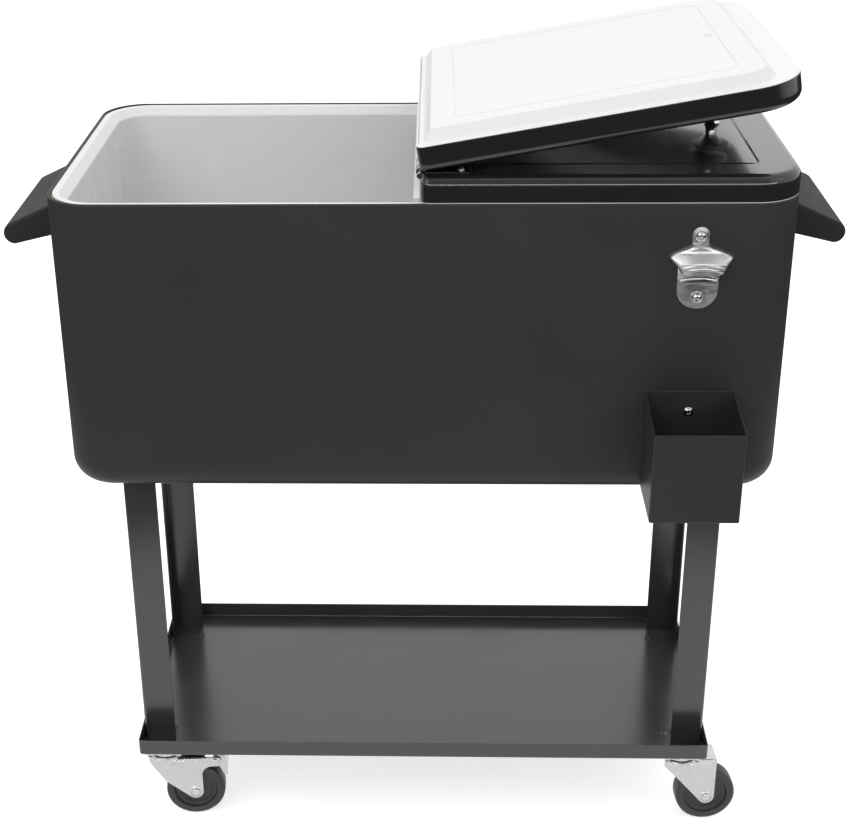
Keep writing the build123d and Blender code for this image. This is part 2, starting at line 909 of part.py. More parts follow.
def make_hinge_leaves(slots):
    # Each leaf lies on its lid and reaches the pin at its own knuckle slots.
    leaves = []
    half_leaf = 2.5 * knuckle_pitch
    top = lid_top + hinge_leaf_gauge
    for hinge in hinge_places:
        clear_x = hinge_barrel_radius + hinge_leaf_cutback
        leaf = block((clear_x, hinge - half_leaf, lid_top), (hinge_leaf_reach, hinge + half_leaf, top))
        bore_start = (0, hinge - half_leaf - overrun, hinge_height)
        bore_end = (0, hinge + half_leaf + overrun, hinge_height)
        for slot in slots:
            middle = hinge + slot * knuckle_pitch
            half = hinge_knuckle_length / 2
            leaf += block((0, middle - half, lid_top), (clear_x, middle + half, top))
            leaf += knuckle(hinge, slot)
        leaf -= rod(bore_start, bore_end, hinge_pin_radius + running_clearance)
        for place in hinge_screw_places():
            leaf -= rod((*place, lid_top - overrun), (*place, top + overrun), hinge_screw_radius)
        leaves.append(leaf)
    return leaves


def make_hinge_screws():
    seat = lid_top + hinge_leaf_gauge
    pieces = []
    for place in hinge_screw_places():
        start = (*place, seat)
        length = hinge_leaf_gauge + wall_screw_length
        pieces.append(
            screw(start, (0, 0, -1), hinge_screw_radius, length, hinge_screw_head_radius, hinge_screw_head_height),
        )
    return pieces


def hinge_plate_blank(hinge, half_gauge):
    half_base = hinge_plate_base / 2
    half_eye = hinge_knuckle_length / 2
    neck_height = hinge_height - 2 * hinge_barrel_radius
    outline = Polyline(
        (0, hinge - half_base, bar_top - hinge_plate_depth),
        (0, hinge - half_base, bar_top),
        (0, hinge - half_eye, neck_height),
        (0, hinge - half_eye, hinge_height),
        (0, hinge + half_eye, hinge_height),
        (0, hinge + half_eye, neck_height),
        (0, hinge + half_base, bar_top),
        (0, hinge + half_base, bar_top - hinge_plate_depth),
        close=True,
    )
    return extrude(make_face(outline), half_gauge, both=True)


def make_hinge_plates():
    plates = []
    for hinge in hinge_places:
        plate = hinge_plate_blank(hinge, hinge_plate_gauge / 2) + knuckle(hinge, 0)
        reach = hinge_knuckle_length
        plate -= rod((0, hinge - reach, hinge_height), (0, hinge + reach, hinge_height), hinge_pin_radius)
        plates.append(plate)
    return plates


def make_hinge_pin():
    reach = half_depth - hinge_pin_overhang
    pin = rod((0, -reach, hinge_height), (0, reach, hinge_height), hinge_pin_radius)
    for side in sides:
        end = side * (reach + hinge_pin_cap_length)
        cap = rod((0, side * reach, hinge_height), (0, end, hinge_height), hinge_pin_cap_radius)
        pin += cap
    return pin


def make_middle_bar():
    half_width = bar_width / 2
    reach = half_depth - tub_inset
    bar = block((-half_width, -reach, bar_top - bar_height), (half_width, reach, bar_top))
    shoulder = tub_wall * 2
    bar -= block(
        (-bar_width, reach - overrun, bar_top - shoulder),
        (bar_width, reach + overrun, bar_top + overrun),
    )
    bar -= block(
        (-bar_width, -reach - overrun, bar_top - shoulder),
        (bar_width, overrun - reach, bar_top + overrun),
    )
    for side in sides:
        face = side * reach
        low_y = min(face, face - side * bar_foot_gauge)
        high_y = max(face, face - side * bar_foot_gauge)
        bar += block(
            (-half_width, low_y, bar_top - bar_foot_height),
            (half_width, high_y, bar_top - bar_height),
        )
    for hinge in hinge_places:
        bar -= hinge_plate_blank(hinge, hinge_plate_gauge / 2)
    for bore in bar_screw_bores():
        bar -= bore
    return bar


bar_screw_height = bar_top - (bar_height + bar_foot_height) / 2


def bar_screw_places():
    reach = half_depth - tub_inset
    return [-reach, reach]


def bar_screw_bores():
    bores = []
    for place in bar_screw_places():
        low = (0, place - overrun * 2, bar_screw_height)
        high = (0, place + overrun * 2, bar_screw_height)
        bores.append(rod(low, high, wall_screw_radius))
    return bores


def make_bar_screws():
    pieces = []
    for place in bar_screw_places():
        side = 1 if place > 0 else -1
        start = (0, place - side * bar_foot_gauge, bar_screw_height)
        length = bar_foot_gauge + tub_wall
        pieces.append(
            screw(start, (0, side, 0), wall_screw_radius, length, wall_screw_head_radius, wall_screw_head_height),
        )
    return pieces


# Right handle: a bent hood with closed ends and a flange riveted to the box
handle_top = rim_top - handle_top_drop
slope_angle = radians(handle_slope)
nose_x = half_length + handle_nose_reach
nose_lift = handle_nose_radius / cos(slope_angle)
nose_height = handle_top - handle_nose_reach * tan(slope_angle) - nose_lift


def handle_profile(inset, low_edge):
    # The sloping top runs tangent into the nose, which ends at its lowest point.
    radius = handle_nose_radius - inset
    wall_height = handle_top - inset / cos(slope_angle)
    tangent = (nose_x + radius * sin(slope_angle), 0, nose_height + radius * cos(slope_angle))
    nose_tip = (nose_x + radius, 0, nose_height)
    nose_bottom = (nose_x, 0, nose_height - radius)
    wall_x = half_length - (overrun if inset > 0 else 0)
    wall_start = (wall_x, 0, wall_height + (half_length - wall_x) * tan(slope_angle))
    wires = Line(wall_start, tangent) + ThreePointArc(tangent, nose_tip, nose_bottom)
    end = (wall_x, 0, low_edge)
    if inset > 0:
        drop = (nose_x, 0, low_edge)
        wires += Line(nose_bottom, drop) + Line(drop, end)
    else:
        wires += Line(nose_bottom, end)
    return make_face(wires + Line(end, wall_start))


def make_right_handle():
    half = handle_length / 2
    end_height = nose_height - handle_nose_radius + handle_end_rise
    hood = extrude(handle_profile(0, end_height), half, both=True)
    deep = nose_height - handle_nose_radius - overrun
    hood -= extrude(handle_profile(handle_gauge, deep), half - handle_gauge, both=True)
    flange_top = handle_top - handle_gauge * 2
    low = (half_length, handle_gauge - half, flange_top - handle_flange_height)
    high = (half_length + handle_gauge, half - handle_gauge, handle_top - handle_gauge)
    hood += block(low, high) & extrude(handle_profile(0, end_height), half, both=True)
    for bore in rivet_bores():
        hood -= bore
    return hood


def handle_rivet_places():
    height = handle_top - handle_gauge * 2 - handle_flange_height / 2
    return [(-handle_rivet_spread, height), (0, height), (handle_rivet_spread, height)]


def rivet_bores():
    bores = []
    for place in handle_rivet_places():
        for side in sides:
            low = (side * (half_length - overrun), *place)
            high = (side * (half_length + overrun * 2), *place)
            bores.append(rod(low, high, handle_rivet_radius))
    return bores


def make_handle_rivets():
    pieces = []
    for place in handle_rivet_places():
        start = (half_length + handle_gauge, *place)
        length = handle_gauge + shell_gauge
        rivet = screw(
            start,
            (-1, 0, 0),
            handle_rivet_radius,
            length,
            handle_rivet_head_radius,
            handle_rivet_head_height,
        )
        pieces.append(rivet)
        pieces.append(mirror(rivet, about=Plane.YZ))
    return pieces


# Bottle opener: a stamped plate with a hooded mouth
opener_top = rim_top - opener_top_drop
opener_bottom = opener_top - opener_height


def opener_hood_outline(inset):
    half_tab = opener_tab_width / 2 - inset
    half_wing = opener_wing_width / 2 - inset
    half_mouth = opener_mouth_width / 2 - inset
    top = opener_top - opener_hood_top_drop - inset
    wing = opener_top - opener_wing_drop
    mouth = opener_top - opener_mouth_drop - (overrun if inset > 0 else 0)
    return [
        (opener_x - half_tab, top),
        (opener_x - half_wing, wing),
        (opener_x - half_mouth, mouth),
        (opener_x + half_mouth, mouth),
        (opener_x + half_wing, wing),
        (opener_x + half_tab, top),
    ]


def opener_hood(inset):
    # The hood leans out from the wall down to an upright lip over the mouth.
    front = extrude(flat_face_xz(opener_hood_outline(inset), -half_depth), opener_hood_reach * 2, both=True)
    top = opener_top - opener_hood_top_drop - inset
    mouth = opener_top - opener_mouth_drop - (overrun if inset > 0 else 0)
    lip_top = opener_top - opener_mouth_drop + opener_lip_height
    reach = opener_hood_reach - inset
    inner = opener_plate_gauge if inset > 0 else 0
    side = Polyline(
        (0, -half_depth - inner, top),
        (0, -half_depth - reach, lip_top),
        (0, -half_depth - reach, mouth),
        (0, -half_depth - inner, mouth),
        close=True,
    )
    return front & Pos(opener_x, 0, 0) * extrude(make_face(side), opener_wing_width, both=True)


def make_bottle_opener():
    half_tab = opener_tab_width / 2
    half_foot = opener_foot_width / 2
    front = -half_depth - opener_plate_gauge
    plate = block(
        (opener_x - half_tab, front, opener_top - opener_wing_drop),
        (opener_x + half_tab, -half_depth, opener_top - half_tab),
    )
    plate += rod(
        (opener_x, front, opener_top - half_tab),
        (opener_x, -half_depth, opener_top - half_tab),
        half_tab,
    )
    foot_centre = opener_bottom + half_foot
    mouth = opener_top - opener_mouth_drop
    plate += block((opener_x - half_foot, front, foot_centre), (opener_x + half_foot, -half_depth, mouth))
    plate += rod((opener_x, front, foot_centre), (opener_x, -half_depth, foot_centre), half_foot)
    back = extrude(flat_face_xz(opener_hood_outline(0), -half_depth), opener_plate_gauge * 2, both=True)
    plate += back & block(
        (opener_x - opener_wing_width, front, mouth),
        (opener_x + opener_wing_width, -half_depth, opener_top),
    )
    opener = plate + (opener_hood(0) - opener_hood(opener_wall))
    half_tooth = opener_tooth_width / 2
    tooth_y = -half_depth - opener_hood_reach
    tooth_low = (opener_x - half_tooth, tooth_y, mouth)
    tooth_high = (opener_x + half_tooth, tooth_y + opener_tooth_length + opener_wall, mouth + opener_wall)
    opener += block(tooth_low, tooth_high)
    for place in opener_screw_places():
        opener -= rod(
            (place[0], front - overrun, place[1]),
            (place[0], -half_depth + overrun, place[1]),
            wall_screw_radius,
        )
    return opener


def opener_screw_places():
    return [(opener_x, opener_top - opener_top_screw_drop), (opener_x, opener_top - opener_foot_screw_drop)]


def wall_screw_places():
    return opener_screw_places() + [catcher_screw_place()]


def wall_screw_bores():
    bores = []
    for x, z in wall_screw_places():
        bores.append(
            rod((x, -half_depth - overrun, z), (x, wall_screw_length - half_depth, z), wall_screw_radius),
        )
    return bores


def make_wall_screw(place, gauge):
    start = (place[0], -half_depth - gauge, place[1])
    return screw(
        start,
        (0, 1, 0),
        wall_screw_radius,
        wall_screw_length,
        wall_screw_head_radius,
        wall_screw_head_height,
    )


# Cap catcher: a folded box open at the top
catcher_bottom = body_bottom + catcher_bottom_rise


def catcher_screw_place():
    return (opener_x, catcher_bottom + catcher_back_height - catcher_screw_drop)


def catcher_block(inset):
    lift = overrun * 5 if inset > 0 else 0
    side = Polyline(
        (0, -half_depth - inset, catcher_bottom + inset),
        (0, -half_depth - inset, catcher_bottom + catcher_back_height + lift),
        (0, inset - half_depth - catcher_depth, catcher_bottom + catcher_front_height + lift),
        (0, inset - half_depth - catcher_depth, catcher_bottom + inset),
        close=True,
    )
    return Pos(opener_x, 0, 0) * extrude(make_face(side), catcher_width / 2 - inset, both=True)


def make_cap_catcher():
    catcher = catcher_block(0) - catcher_block(catcher_gauge)
    place = catcher_screw_place()
    return catcher - rod(
        (place[0], -half_depth - catcher_gauge - overrun, place[1]),
        (place[0], -half_depth + overrun, place[1]),
        wall_screw_radius,
    )


# Drain: a flanged tube through the tub's floor, its nut and a screw cap
def make_drain_fitting():
    low = body_bottom - drain_tube_drop
    tube = rod((0, drain_y, low), (0, drain_y, tub_floor + drain_flange_gauge), drain_tube_radius)
    tube += rod((0, drain_y, tub_floor), (0, drain_y, tub_floor + drain_flange_gauge), drain_flange_radius)
    return tube - rod((0, drain_y, low - overrun), (0, drain_y, tub_floor + overrun * 2), drain_bore_radius)


def make_drain_nut():
    plane = Pos(0, drain_y, body_bottom - drain_nut_height)
    nut = extrude(plane * RegularPolygon(drain_nut_radius, 6), drain_nut_height)
    return nut - rod(
        (0, drain_y, body_bottom - drain_nut_height * 2),
        (0, drain_y, body_bottom + overrun),
        drain_tube_radius,
    )


def make_drain_cap():
    top = body_bottom - drain_nut_height - drain_cap_gap
    bottom = top - drain_cap_height
    cap = rod((0, drain_y, bottom), (0, drain_y, top), drain_cap_radius)
    for i in range(drain_grip_count):
        turn = radians(360 * i / drain_grip_count)
        x = drain_cap_radius * cos(turn)
        y = drain_y + drain_cap_radius * sin(turn)
        cap -= rod((x, y, bottom - overrun), (x, y, top + overrun), drain_grip_radius)
    well_floor = body_bottom - drain_tube_drop - drain_cap_gap
    return cap - rod((0, drain_y, well_floor), (0, drain_y, top + overrun), drain_tube_radius + drain_cap_gap)


# Write every node
os.makedirs("parts", exist_ok=True)

export_node("outer_shell", make_outer_shell())
export_node("inner_liner", make_inner_liner())
export_node("box_foam", make_foam())
export_node("shelf_tray", make_tray())
export_node("front_left_leg", place_leg(-1, -1))
export_node("front_right_leg", place_leg(1, -1))
export_node("back_left_leg", place_leg(-1, 1))
export_node("back_right_leg", place_leg(1, 1))
export_node("leg_bolts", *make_leg_bolts())
export_node("caster_bolts", *make_caster_bolts())
export_node("caster_nuts", *make_caster_nuts())

plates = []
kingpins = []
balls = []
for name, (x, y, turn, braked) in caster_stations.items():
    station = Pos(x, y, 0)
    plates.append(station * make_caster_plate())
    kingpins.append(station * make_kingpin())
    balls += [station * ball for ball in make_balls()]
    turned = station * Rot(0, 0, turn)
    export_node(name + "_fork", turned * make_fork(braked))
    export_node(name + "_wheel", turned * make_wheel())
    axle = make_cross_pin(caster_trail, wheel_radius, axle_radius, axle_head_radius, axle_head_height)
    export_node(name + "_axle", turned * axle)
    if braked:
        pin = make_cross_pin(
            brake_pivot_x,
            brake_pivot_height,
            brake_pin_radius,
            brake_pin_radius * 2,
            axle_head_height,
        )
        export_node(name + "_brake_lever", turned * make_brake_lever())
        export_node(name + "_brake_pin", turned * pin)
export_node("caster_plates", *plates)
export_node("kingpins", *kingpins)
export_node("caster_balls", *balls)

# The left lid is the right one turned about the vertical and swung open.
lid_pieces = {
    "lid_shell": [make_lid_shell()],
    "lid_liner": [make_lid_liner()],
    "lid_foam": [make_lid_foam()],
    "knob_neck": [make_knob_neck()],
    "knob_head": [make_knob_head()],
    "knob_screw": [make_knob_screw()],
    "lid_screws": make_hinge_screws(),
}
swing = Pos(0, 0, hinge_height) * Rot(0, lid_open_angle, 0) * Pos(0, 0, -hinge_height) * Rot(0, 0, 180)
for name, pieces in lid_pieces.items():
    export_node("right_" + name, *pieces)
    export_node("left_" + name, *[swing * piece for piece in pieces])
export_node("right_hinge_leaves", *make_hinge_leaves([-2, 2]))
export_node("left_hinge_leaves", *[swing * leaf for leaf in make_hinge_leaves([-1, 1])])
export_node("hinge_plates", *make_hinge_plates())
export_node("hinge_pin", make_hinge_pin())
export_node("middle_bar", make_middle_bar())
export_node("bar_screws", *make_bar_screws())

right_handle = make_right_handle()
export_node("right_handle", right_handle)
export_node("left_handle", mirror(right_handle, about=Plane.YZ))
export_node("handle_rivets", *make_handle_rivets())
export_node("bottle_opener", make_bottle_opener())
export_node("opener_screws", *[make_wall_screw(place, opener_plate_gauge) for place in opener_screw_places()])
export_node("cap_catcher", make_cap_catcher())
export_node("catcher_screw", make_wall_screw(catcher_screw_place(), catcher_gauge))
export_node("drain_fitting", make_drain_fitting())
export_node("drain_nut", make_drain_nut())
export_node("drain_cap", make_drain_cap())
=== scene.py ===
import bpy
import json
import math
import numpy as np
from mathutils import Matrix, Vector


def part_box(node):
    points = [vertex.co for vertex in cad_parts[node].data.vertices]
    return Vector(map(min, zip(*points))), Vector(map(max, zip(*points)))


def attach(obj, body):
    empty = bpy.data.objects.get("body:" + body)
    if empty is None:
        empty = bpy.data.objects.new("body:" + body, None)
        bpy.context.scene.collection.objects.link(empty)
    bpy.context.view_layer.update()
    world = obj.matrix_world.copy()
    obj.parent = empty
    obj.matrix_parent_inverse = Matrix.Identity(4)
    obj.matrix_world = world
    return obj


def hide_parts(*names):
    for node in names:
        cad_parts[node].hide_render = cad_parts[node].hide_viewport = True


# Rolling patio cooler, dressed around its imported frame. Lengths are metres. X runs
# along the box, Y from front to back and Z up from the floor.

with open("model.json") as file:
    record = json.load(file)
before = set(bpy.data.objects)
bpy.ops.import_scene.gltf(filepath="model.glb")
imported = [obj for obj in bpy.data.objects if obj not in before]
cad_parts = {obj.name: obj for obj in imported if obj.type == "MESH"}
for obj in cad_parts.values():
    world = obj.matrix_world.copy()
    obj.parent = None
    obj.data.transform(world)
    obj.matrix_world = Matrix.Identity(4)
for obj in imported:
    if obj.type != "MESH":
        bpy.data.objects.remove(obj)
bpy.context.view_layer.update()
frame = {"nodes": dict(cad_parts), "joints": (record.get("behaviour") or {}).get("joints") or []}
print("stage: frame loaded,", len(frame["nodes"]), "nodes")


def span(node):
    # The low and the high corner of a node's box.
    low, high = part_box(node)
    return np.array(low, float), np.array(high, float)


jointOf = {joint["name"]: joint for joint in frame["joints"]}
boxLow, boxHigh = span("outer_shell")
centreY = (boxLow[1] + boxHigh[1]) / 2
rimTop = boxHigh[2]
hingeAxis = np.array(jointOf["right_lid_hinge"]["pos_m"], float)
lidLow, lidHigh = span("right_lid_shell")
lidOpen = math.radians(jointOf["right_lid_hinge"]["range_deg"][1])


# Meshes. A part is a pair of points and faces.

def newObject(name, data):
    added = bpy.data.objects.new(name, data)
    bpy.context.scene.collection.objects.link(added)
    return added


def newPiece(name, part, node, finish, body="cooler", sharpAngle=35):
    # The part as a piece that rides on its body and stands in for its node. It is
    # shaded smooth except over creases past the angle.
    points, faces = part
    mesh = bpy.data.meshes.new(name)
    mesh.from_pydata(np.asarray(points, float).tolist(), [], faces)
    mesh.update()
    mesh.polygons.foreach_set("use_smooth", np.ones(len(mesh.polygons), bool))
    mesh.set_sharp_from_angle(angle=math.radians(sharpAngle))
    mesh.materials.append(paint[finish])
    piece = newObject(name, mesh)
    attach(piece, body)
    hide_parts(node)


def gridFaces(rows, columns, closeRows=False):
    # Quads between neighbouring rows of a grid of points, each row a closed loop.
    rowEnd = rows if closeRows else rows - 1
    i, j = np.meshgrid(np.arange(rowEnd), np.arange(columns), indexing="ij")
    nextI, nextJ = (i + 1) % rows, (j + 1) % columns
    corners = [i * columns + j, i * columns + nextJ, nextI * columns + nextJ, nextI * columns + j]
    return np.stack(corners, -1).reshape(-1, 4).tolist()


def stackMesh(rows):
    # Loops of equal count stacked into a skin, with a flat face over each end.
    rows = np.asarray(rows, float)
    count, loop = rows.shape[:2]
    faces = gridFaces(count, loop)
    faces.append(list(range(loop))[::-1])
    faces.append(list(range((count - 1) * loop, count * loop)))
    return rows.reshape(-1, 3), faces


def joinMeshes(parts):
    # Several parts as one, with the face numbers moved along.
    points, faces, start = [], [], 0
    for partPoints, partFaces in parts:
        points.append(np.asarray(partPoints, float))
        faces += [[index + start for index in face] for face in partFaces]
        start += len(partPoints)
    return np.concatenate(points), faces


def flipped(part):
    points, faces = part
    return points, [face[::-1] for face in faces]


def mirrored(part, axis):
    # Reflected in the plane through the origin that the axis is normal to.
    points, faces = flipped(part)
    return points * np.where(np.arange(3) == axis, -1, 1), faces


def bothSides(part):
    return [part, mirrored(part, 1)]


def alongY(part):
    # Laid over: an outline of (x, z), stacked upwards, runs back along Y instead.
    points, faces = flipped(part)
    return points[:, [0, 2, 1]], faces


def moved(part, matrix):
    points, faces = part
    matrix = np.asarray(matrix, float)
    return points @ matrix[:3, :3].T + matrix[:3, 3], faces


def shift(x=0, y=0, z=0):
    return Matrix.Translation((x, y, z))


def turn(degrees, axis):
    return Matrix.Rotation(math.radians(degrees), 4, axis)


# Outlines and the surfaces made from them

def rectangle(left, front, right, back):
    return [(left, front), (right, front), (right, back), (left, back)]


def arcPoints(centre, radii, angles):
    # The centre plus (radius cos a, radius sin a), with a radius for each axis.
    return np.column_stack([centre[0] + radii[0] * np.cos(angles), centre[1] + radii[1] * np.sin(angles)])


def atHeight(outline, height):
    return np.column_stack([outline, np.full(len(outline), height)])


def cornerPath(corners, radii, steps=6, closed=True):
    # Straight runs joined by tangent arcs. Each arc of radius r starts r / tan(half
    # the opening) before its corner, and a support point a quarter of that run
    # further out keeps the flats flat.
    support = 1.25
    corners = np.asarray(corners, float)
    path = []
    for k, corner in enumerate(corners):
        radius = radii[k] if np.ndim(radii) else radii
        if not closed and k in (0, len(corners) - 1):
            path.append(corner)
            continue
        before = corners[k - 1] - corner
        after = corners[(k + 1) % len(corners)] - corner
        beforeDir = before / np.linalg.norm(before)
        afterDir = after / np.linalg.norm(after)
        opening = math.acos(np.clip(beforeDir @ afterDir, -1, 1))
        cut = radius / math.tan(opening / 2)
        bisector = beforeDir + afterDir
        centre = corner + bisector / np.linalg.norm(bisector) * radius / math.sin(opening / 2)
        startArm = corner + beforeDir * cut - centre
        endArm = corner + afterDir * cut - centre
        sweep = math.pi - opening
        share = np.linspace(0, 1, steps + 1)[:, None]
        path.append(corner + beforeDir * cut * support)
        path.extend(centre + (np.sin((1 - share) * sweep) * startArm
                              + np.sin(share * sweep) * endArm) / math.sin(sweep))
        path.append(corner + afterDir * cut * support)
    return np.array(path)


def insetRows(low, high, radii, profile, steps=12, hingeShare=1.0, leastRadius=0.0006):
    # A rectangle with an arc in each corner, drawn in by each inset of the profile
    # and lifted to its height. The low X side moves in by a share of the inset.
    rows = []
    for inset, height in profile:
        corners = rectangle(low[0] + inset * hingeShare, low[1] + inset, high[0] - inset, high[1] - inset)
        insetRadii = np.maximum(np.asarray(radii, float) - inset, leastRadius)
        rows.append(atHeight(cornerPath(corners, insetRadii, steps), height))
    return rows


def panRows(node, s):
    # A folded pan. Its section runs from the middle of the underside out and up
    # the side, over the edge and back down, carried round the rounded rectangle.
    low, high = span(node)
    bottom, top, run, g = low[2], high[2], s["run"], s["gauge"]
    corners = [(run, bottom), (0, bottom), (0, top), (g, top), (g, bottom + g), (run, bottom + g)]
    radii = [0, s["bend"], s["edge"], s["edge"], s["bend"] - g, 0]
    profile = cornerPath(corners, radii, s["bendSteps"], closed=False)
    return insetRows(low, high, s["corner"], profile, s["cornerSteps"], leastRadius=s["leastRadius"])


def ringRows(profile, count, wave=0, waves=0):
    # Each (radius r, height) of the profile swept round Z. With the angle a its
    # radius may swing in and out as r (1 + wave cos(waves a)).
    angle = np.linspace(0, 2 * math.pi, count, endpoint=False)
    radius, height = np.asarray(profile, float).T
    swung = radius[:, None] * (1 + np.outer(wave, np.cos(waves * angle)))
    return np.stack([swung * np.cos(angle), swung * np.sin(angle), np.repeat(height[:, None], count, 1)], -1)


def latheMesh(profile, centre=(0, 0, 0), count=48, forward=False, **swing):
    # Rings on an axis through the centre, which stands up or points along -Y.
    rows = ringRows(profile, count, **swing)
    return moved(stackMesh(rows), shift(*centre) @ turn(90 if forward else 0, "X"))


def insetOutline(outline, amount):
    # Each corner moves inwards along the sum of its two edge normals, scaled so
    # that both edges shift by the amount.
    outline = np.asarray(outline, float)
    ahead = np.roll(outline, -1, 0) - outline
    length = np.linalg.norm(ahead, axis=1, keepdims=True)
    normal = np.column_stack([ahead[:, 1], -ahead[:, 0]]) / np.maximum(length, 1e-9)
    both = normal + np.roll(normal, 1, 0)
    share = np.maximum((both ** 2).sum(1, keepdims=True) / 2, 0.4)
    return outline - both / share * amount


def clearDoubles(outline, least=1e-5):
    outline = np.asarray(outline, float)
    gap = np.linalg.norm(outline - np.roll(outline, 1, 0), axis=1)
    return outline[gap > least]


def layeredPlate(outline, layers):
    # The outline drawn in by each layer's inset and set at its height.
    return stackMesh([atHeight(insetOutline(outline, inset), height) for inset, height in layers])


def roundedPlate(outline, low, high, radius, steps=3):
    # The outline carried from low to high, with a quarter round at both edges.
    angle = np.linspace(0, math.pi / 2, steps + 1)
    inset, rise = radius * (1 - np.sin(angle)), radius * (1 - np.cos(angle))
    layers = [*zip(inset, low + rise), *zip(inset[::-1], high - rise[::-1])]
    return layeredPlate(clearDoubles(outline), layers)


def smoothStep(value, start, end):
    # 3 t^2 - 2 t^3, where t runs from 0 at the start to 1 at the end.
    share = np.clip((np.asarray(value, float) - start) / (end - start), 0, 1)
    return share * share * (3 - 2 * share)


# Shader nodes

def feed(tree, node, sources):
    # Each source is a value, set on the node's own socket, or an output to link.
    for socket, source in sources.items():
        if isinstance(source, bpy.types.NodeSocket):
            tree.links.new(source, node.inputs[socket])
        else:
            node.inputs[socket].default_value = source
    return node


def newNode(tree, kind, sources, **settings):
    node = tree.nodes.new("ShaderNode" + kind)
    for setting, value in settings.items():
        setattr(node, setting, value)
    return feed(tree, node, sources)


def mathNode(tree, operation, *sources):
    return newNode(tree, "Math", dict(enumerate(sources)), operation=operation).outputs[0]


def mapRange(tree, value, fromMin, fromMax, toMin, toMax, interpolation="LINEAR"):
    sources = {"Value": value, "From Min": fromMin, "From Max": fromMax, "To Min": toMin, "To Max": toMax}
    return newNode(tree, "MapRange", sources, interpolation_type=interpolation).outputs["Result"]


# Finishes, and what they share where they don't say otherwise

plainLook = {
    "metal": 0.0, "specular": 0.5, "coat": 0.0, "coatRough": 0.05,
    "driftScale": 9.0, "driftDetail": 3.0, "grainDetail": 2.0, "grainTone": 0.5, "stretch": (1, 1, 1),
    "spread": 0.06, "noiseLow": 0.3, "noiseHigh": 0.7, "bumpDepth": 0.0001,
}
finishes = {
    "boxPaint": {"colour": (0.036, 0.036, 0.0365), "rough": (0.34, 0.44), "specular": 0.2,
        "grainScale": 1400, "bump": 0.12, "spread": 0.05},
    "lidPaint": {"colour": (0.016, 0.016, 0.0165), "rough": (0.10, 0.17), "coat": 0.35,
        "grainScale": 260, "bump": 0.03, "spread": 0.1},
    "handlePaint": {"colour": (0.033, 0.033, 0.0335), "rough": (0.44, 0.54), "specular": 0.06,
        "grainScale": 1400, "bump": 0.12},
    "cartPaint": {"colour": (0.040, 0.040, 0.041), "rough": (0.18, 0.26), "specular": 0.85,
        "grainScale": 1100, "bump": 0.06},
    "tubPlastic": {"colour": (0.84, 0.85, 0.86), "rough": (0.2, 0.3),
        "grainScale": 500, "bump": 0.04, "spread": 0.015},
    "lidPlastic": {"colour": (0.88, 0.88, 0.88), "rough": (0.28, 0.38),
        "grainScale": 500, "bump": 0.05, "spread": 0.012},
    "zincPlate": {"colour": (0.62, 0.63, 0.64), "metal": 0.9, "rough": (0.24, 0.30), "driftScale": 40,
        "grainScale": 1200, "grainTone": 0.06, "bump": 0.02, "spread": 0.04},
    "brushedSteel": {"colour": (0.55, 0.545, 0.54), "metal": 1.0, "rough": (0.26, 0.44), "driftScale": 45,
        "grainScale": 420, "stretch": (0.12, 1, 1), "bump": 0.2, "spread": 0.14},
    "screwSteel": {"colour": (0.6, 0.6, 0.6), "metal": 1.0, "rough": (0.12, 0.22),
        "grainScale": 500, "bump": 0.08, "spread": 0.08},
    "chromePlate": {"colour": (0.78, 0.78, 0.8), "metal": 1.0, "rough": (0.04, 0.09),
        "grainScale": 300, "bump": 0.02, "spread": 0.03},
    "knobPlastic": {"colour": (0.02, 0.02, 0.021), "rough": (0.16, 0.24), "specular": 0.8, "coat": 0.8,
        "grainScale": 600, "bump": 0.05, "spread": 0.1},
    "wheelPlastic": {"colour": (0.03, 0.03, 0.031), "rough": (0.36, 0.5),
        "grainScale": 900, "bump": 0.2, "spread": 0.12},
    "foamFill": {"colour": (0.75, 0.7, 0.5), "rough": (0.8, 0.95),
        "grainScale": 500, "bump": 0.6, "spread": 0.1},
}
nodeFinish = {     # nodes that stay as they are; any other is zinc plated
    "foamFill": ("box_foam", "right_lid_foam", "left_lid_foam"),
    "chromePlate": ("hinge_pin", "bar_screws", "left_lid_screws", "right_lid_screws"),
    "tubPlastic": ("middle_bar", "drain_fitting", "drain_nut"),
    "lidPaint": ("left_hinge_leaves", "right_hinge_leaves"),
    "screwSteel": ("left_knob_screw", "right_knob_screw"),
    "knobPlastic": ("drain_cap",),
    "handlePaint": ("handle_rivets",),
}


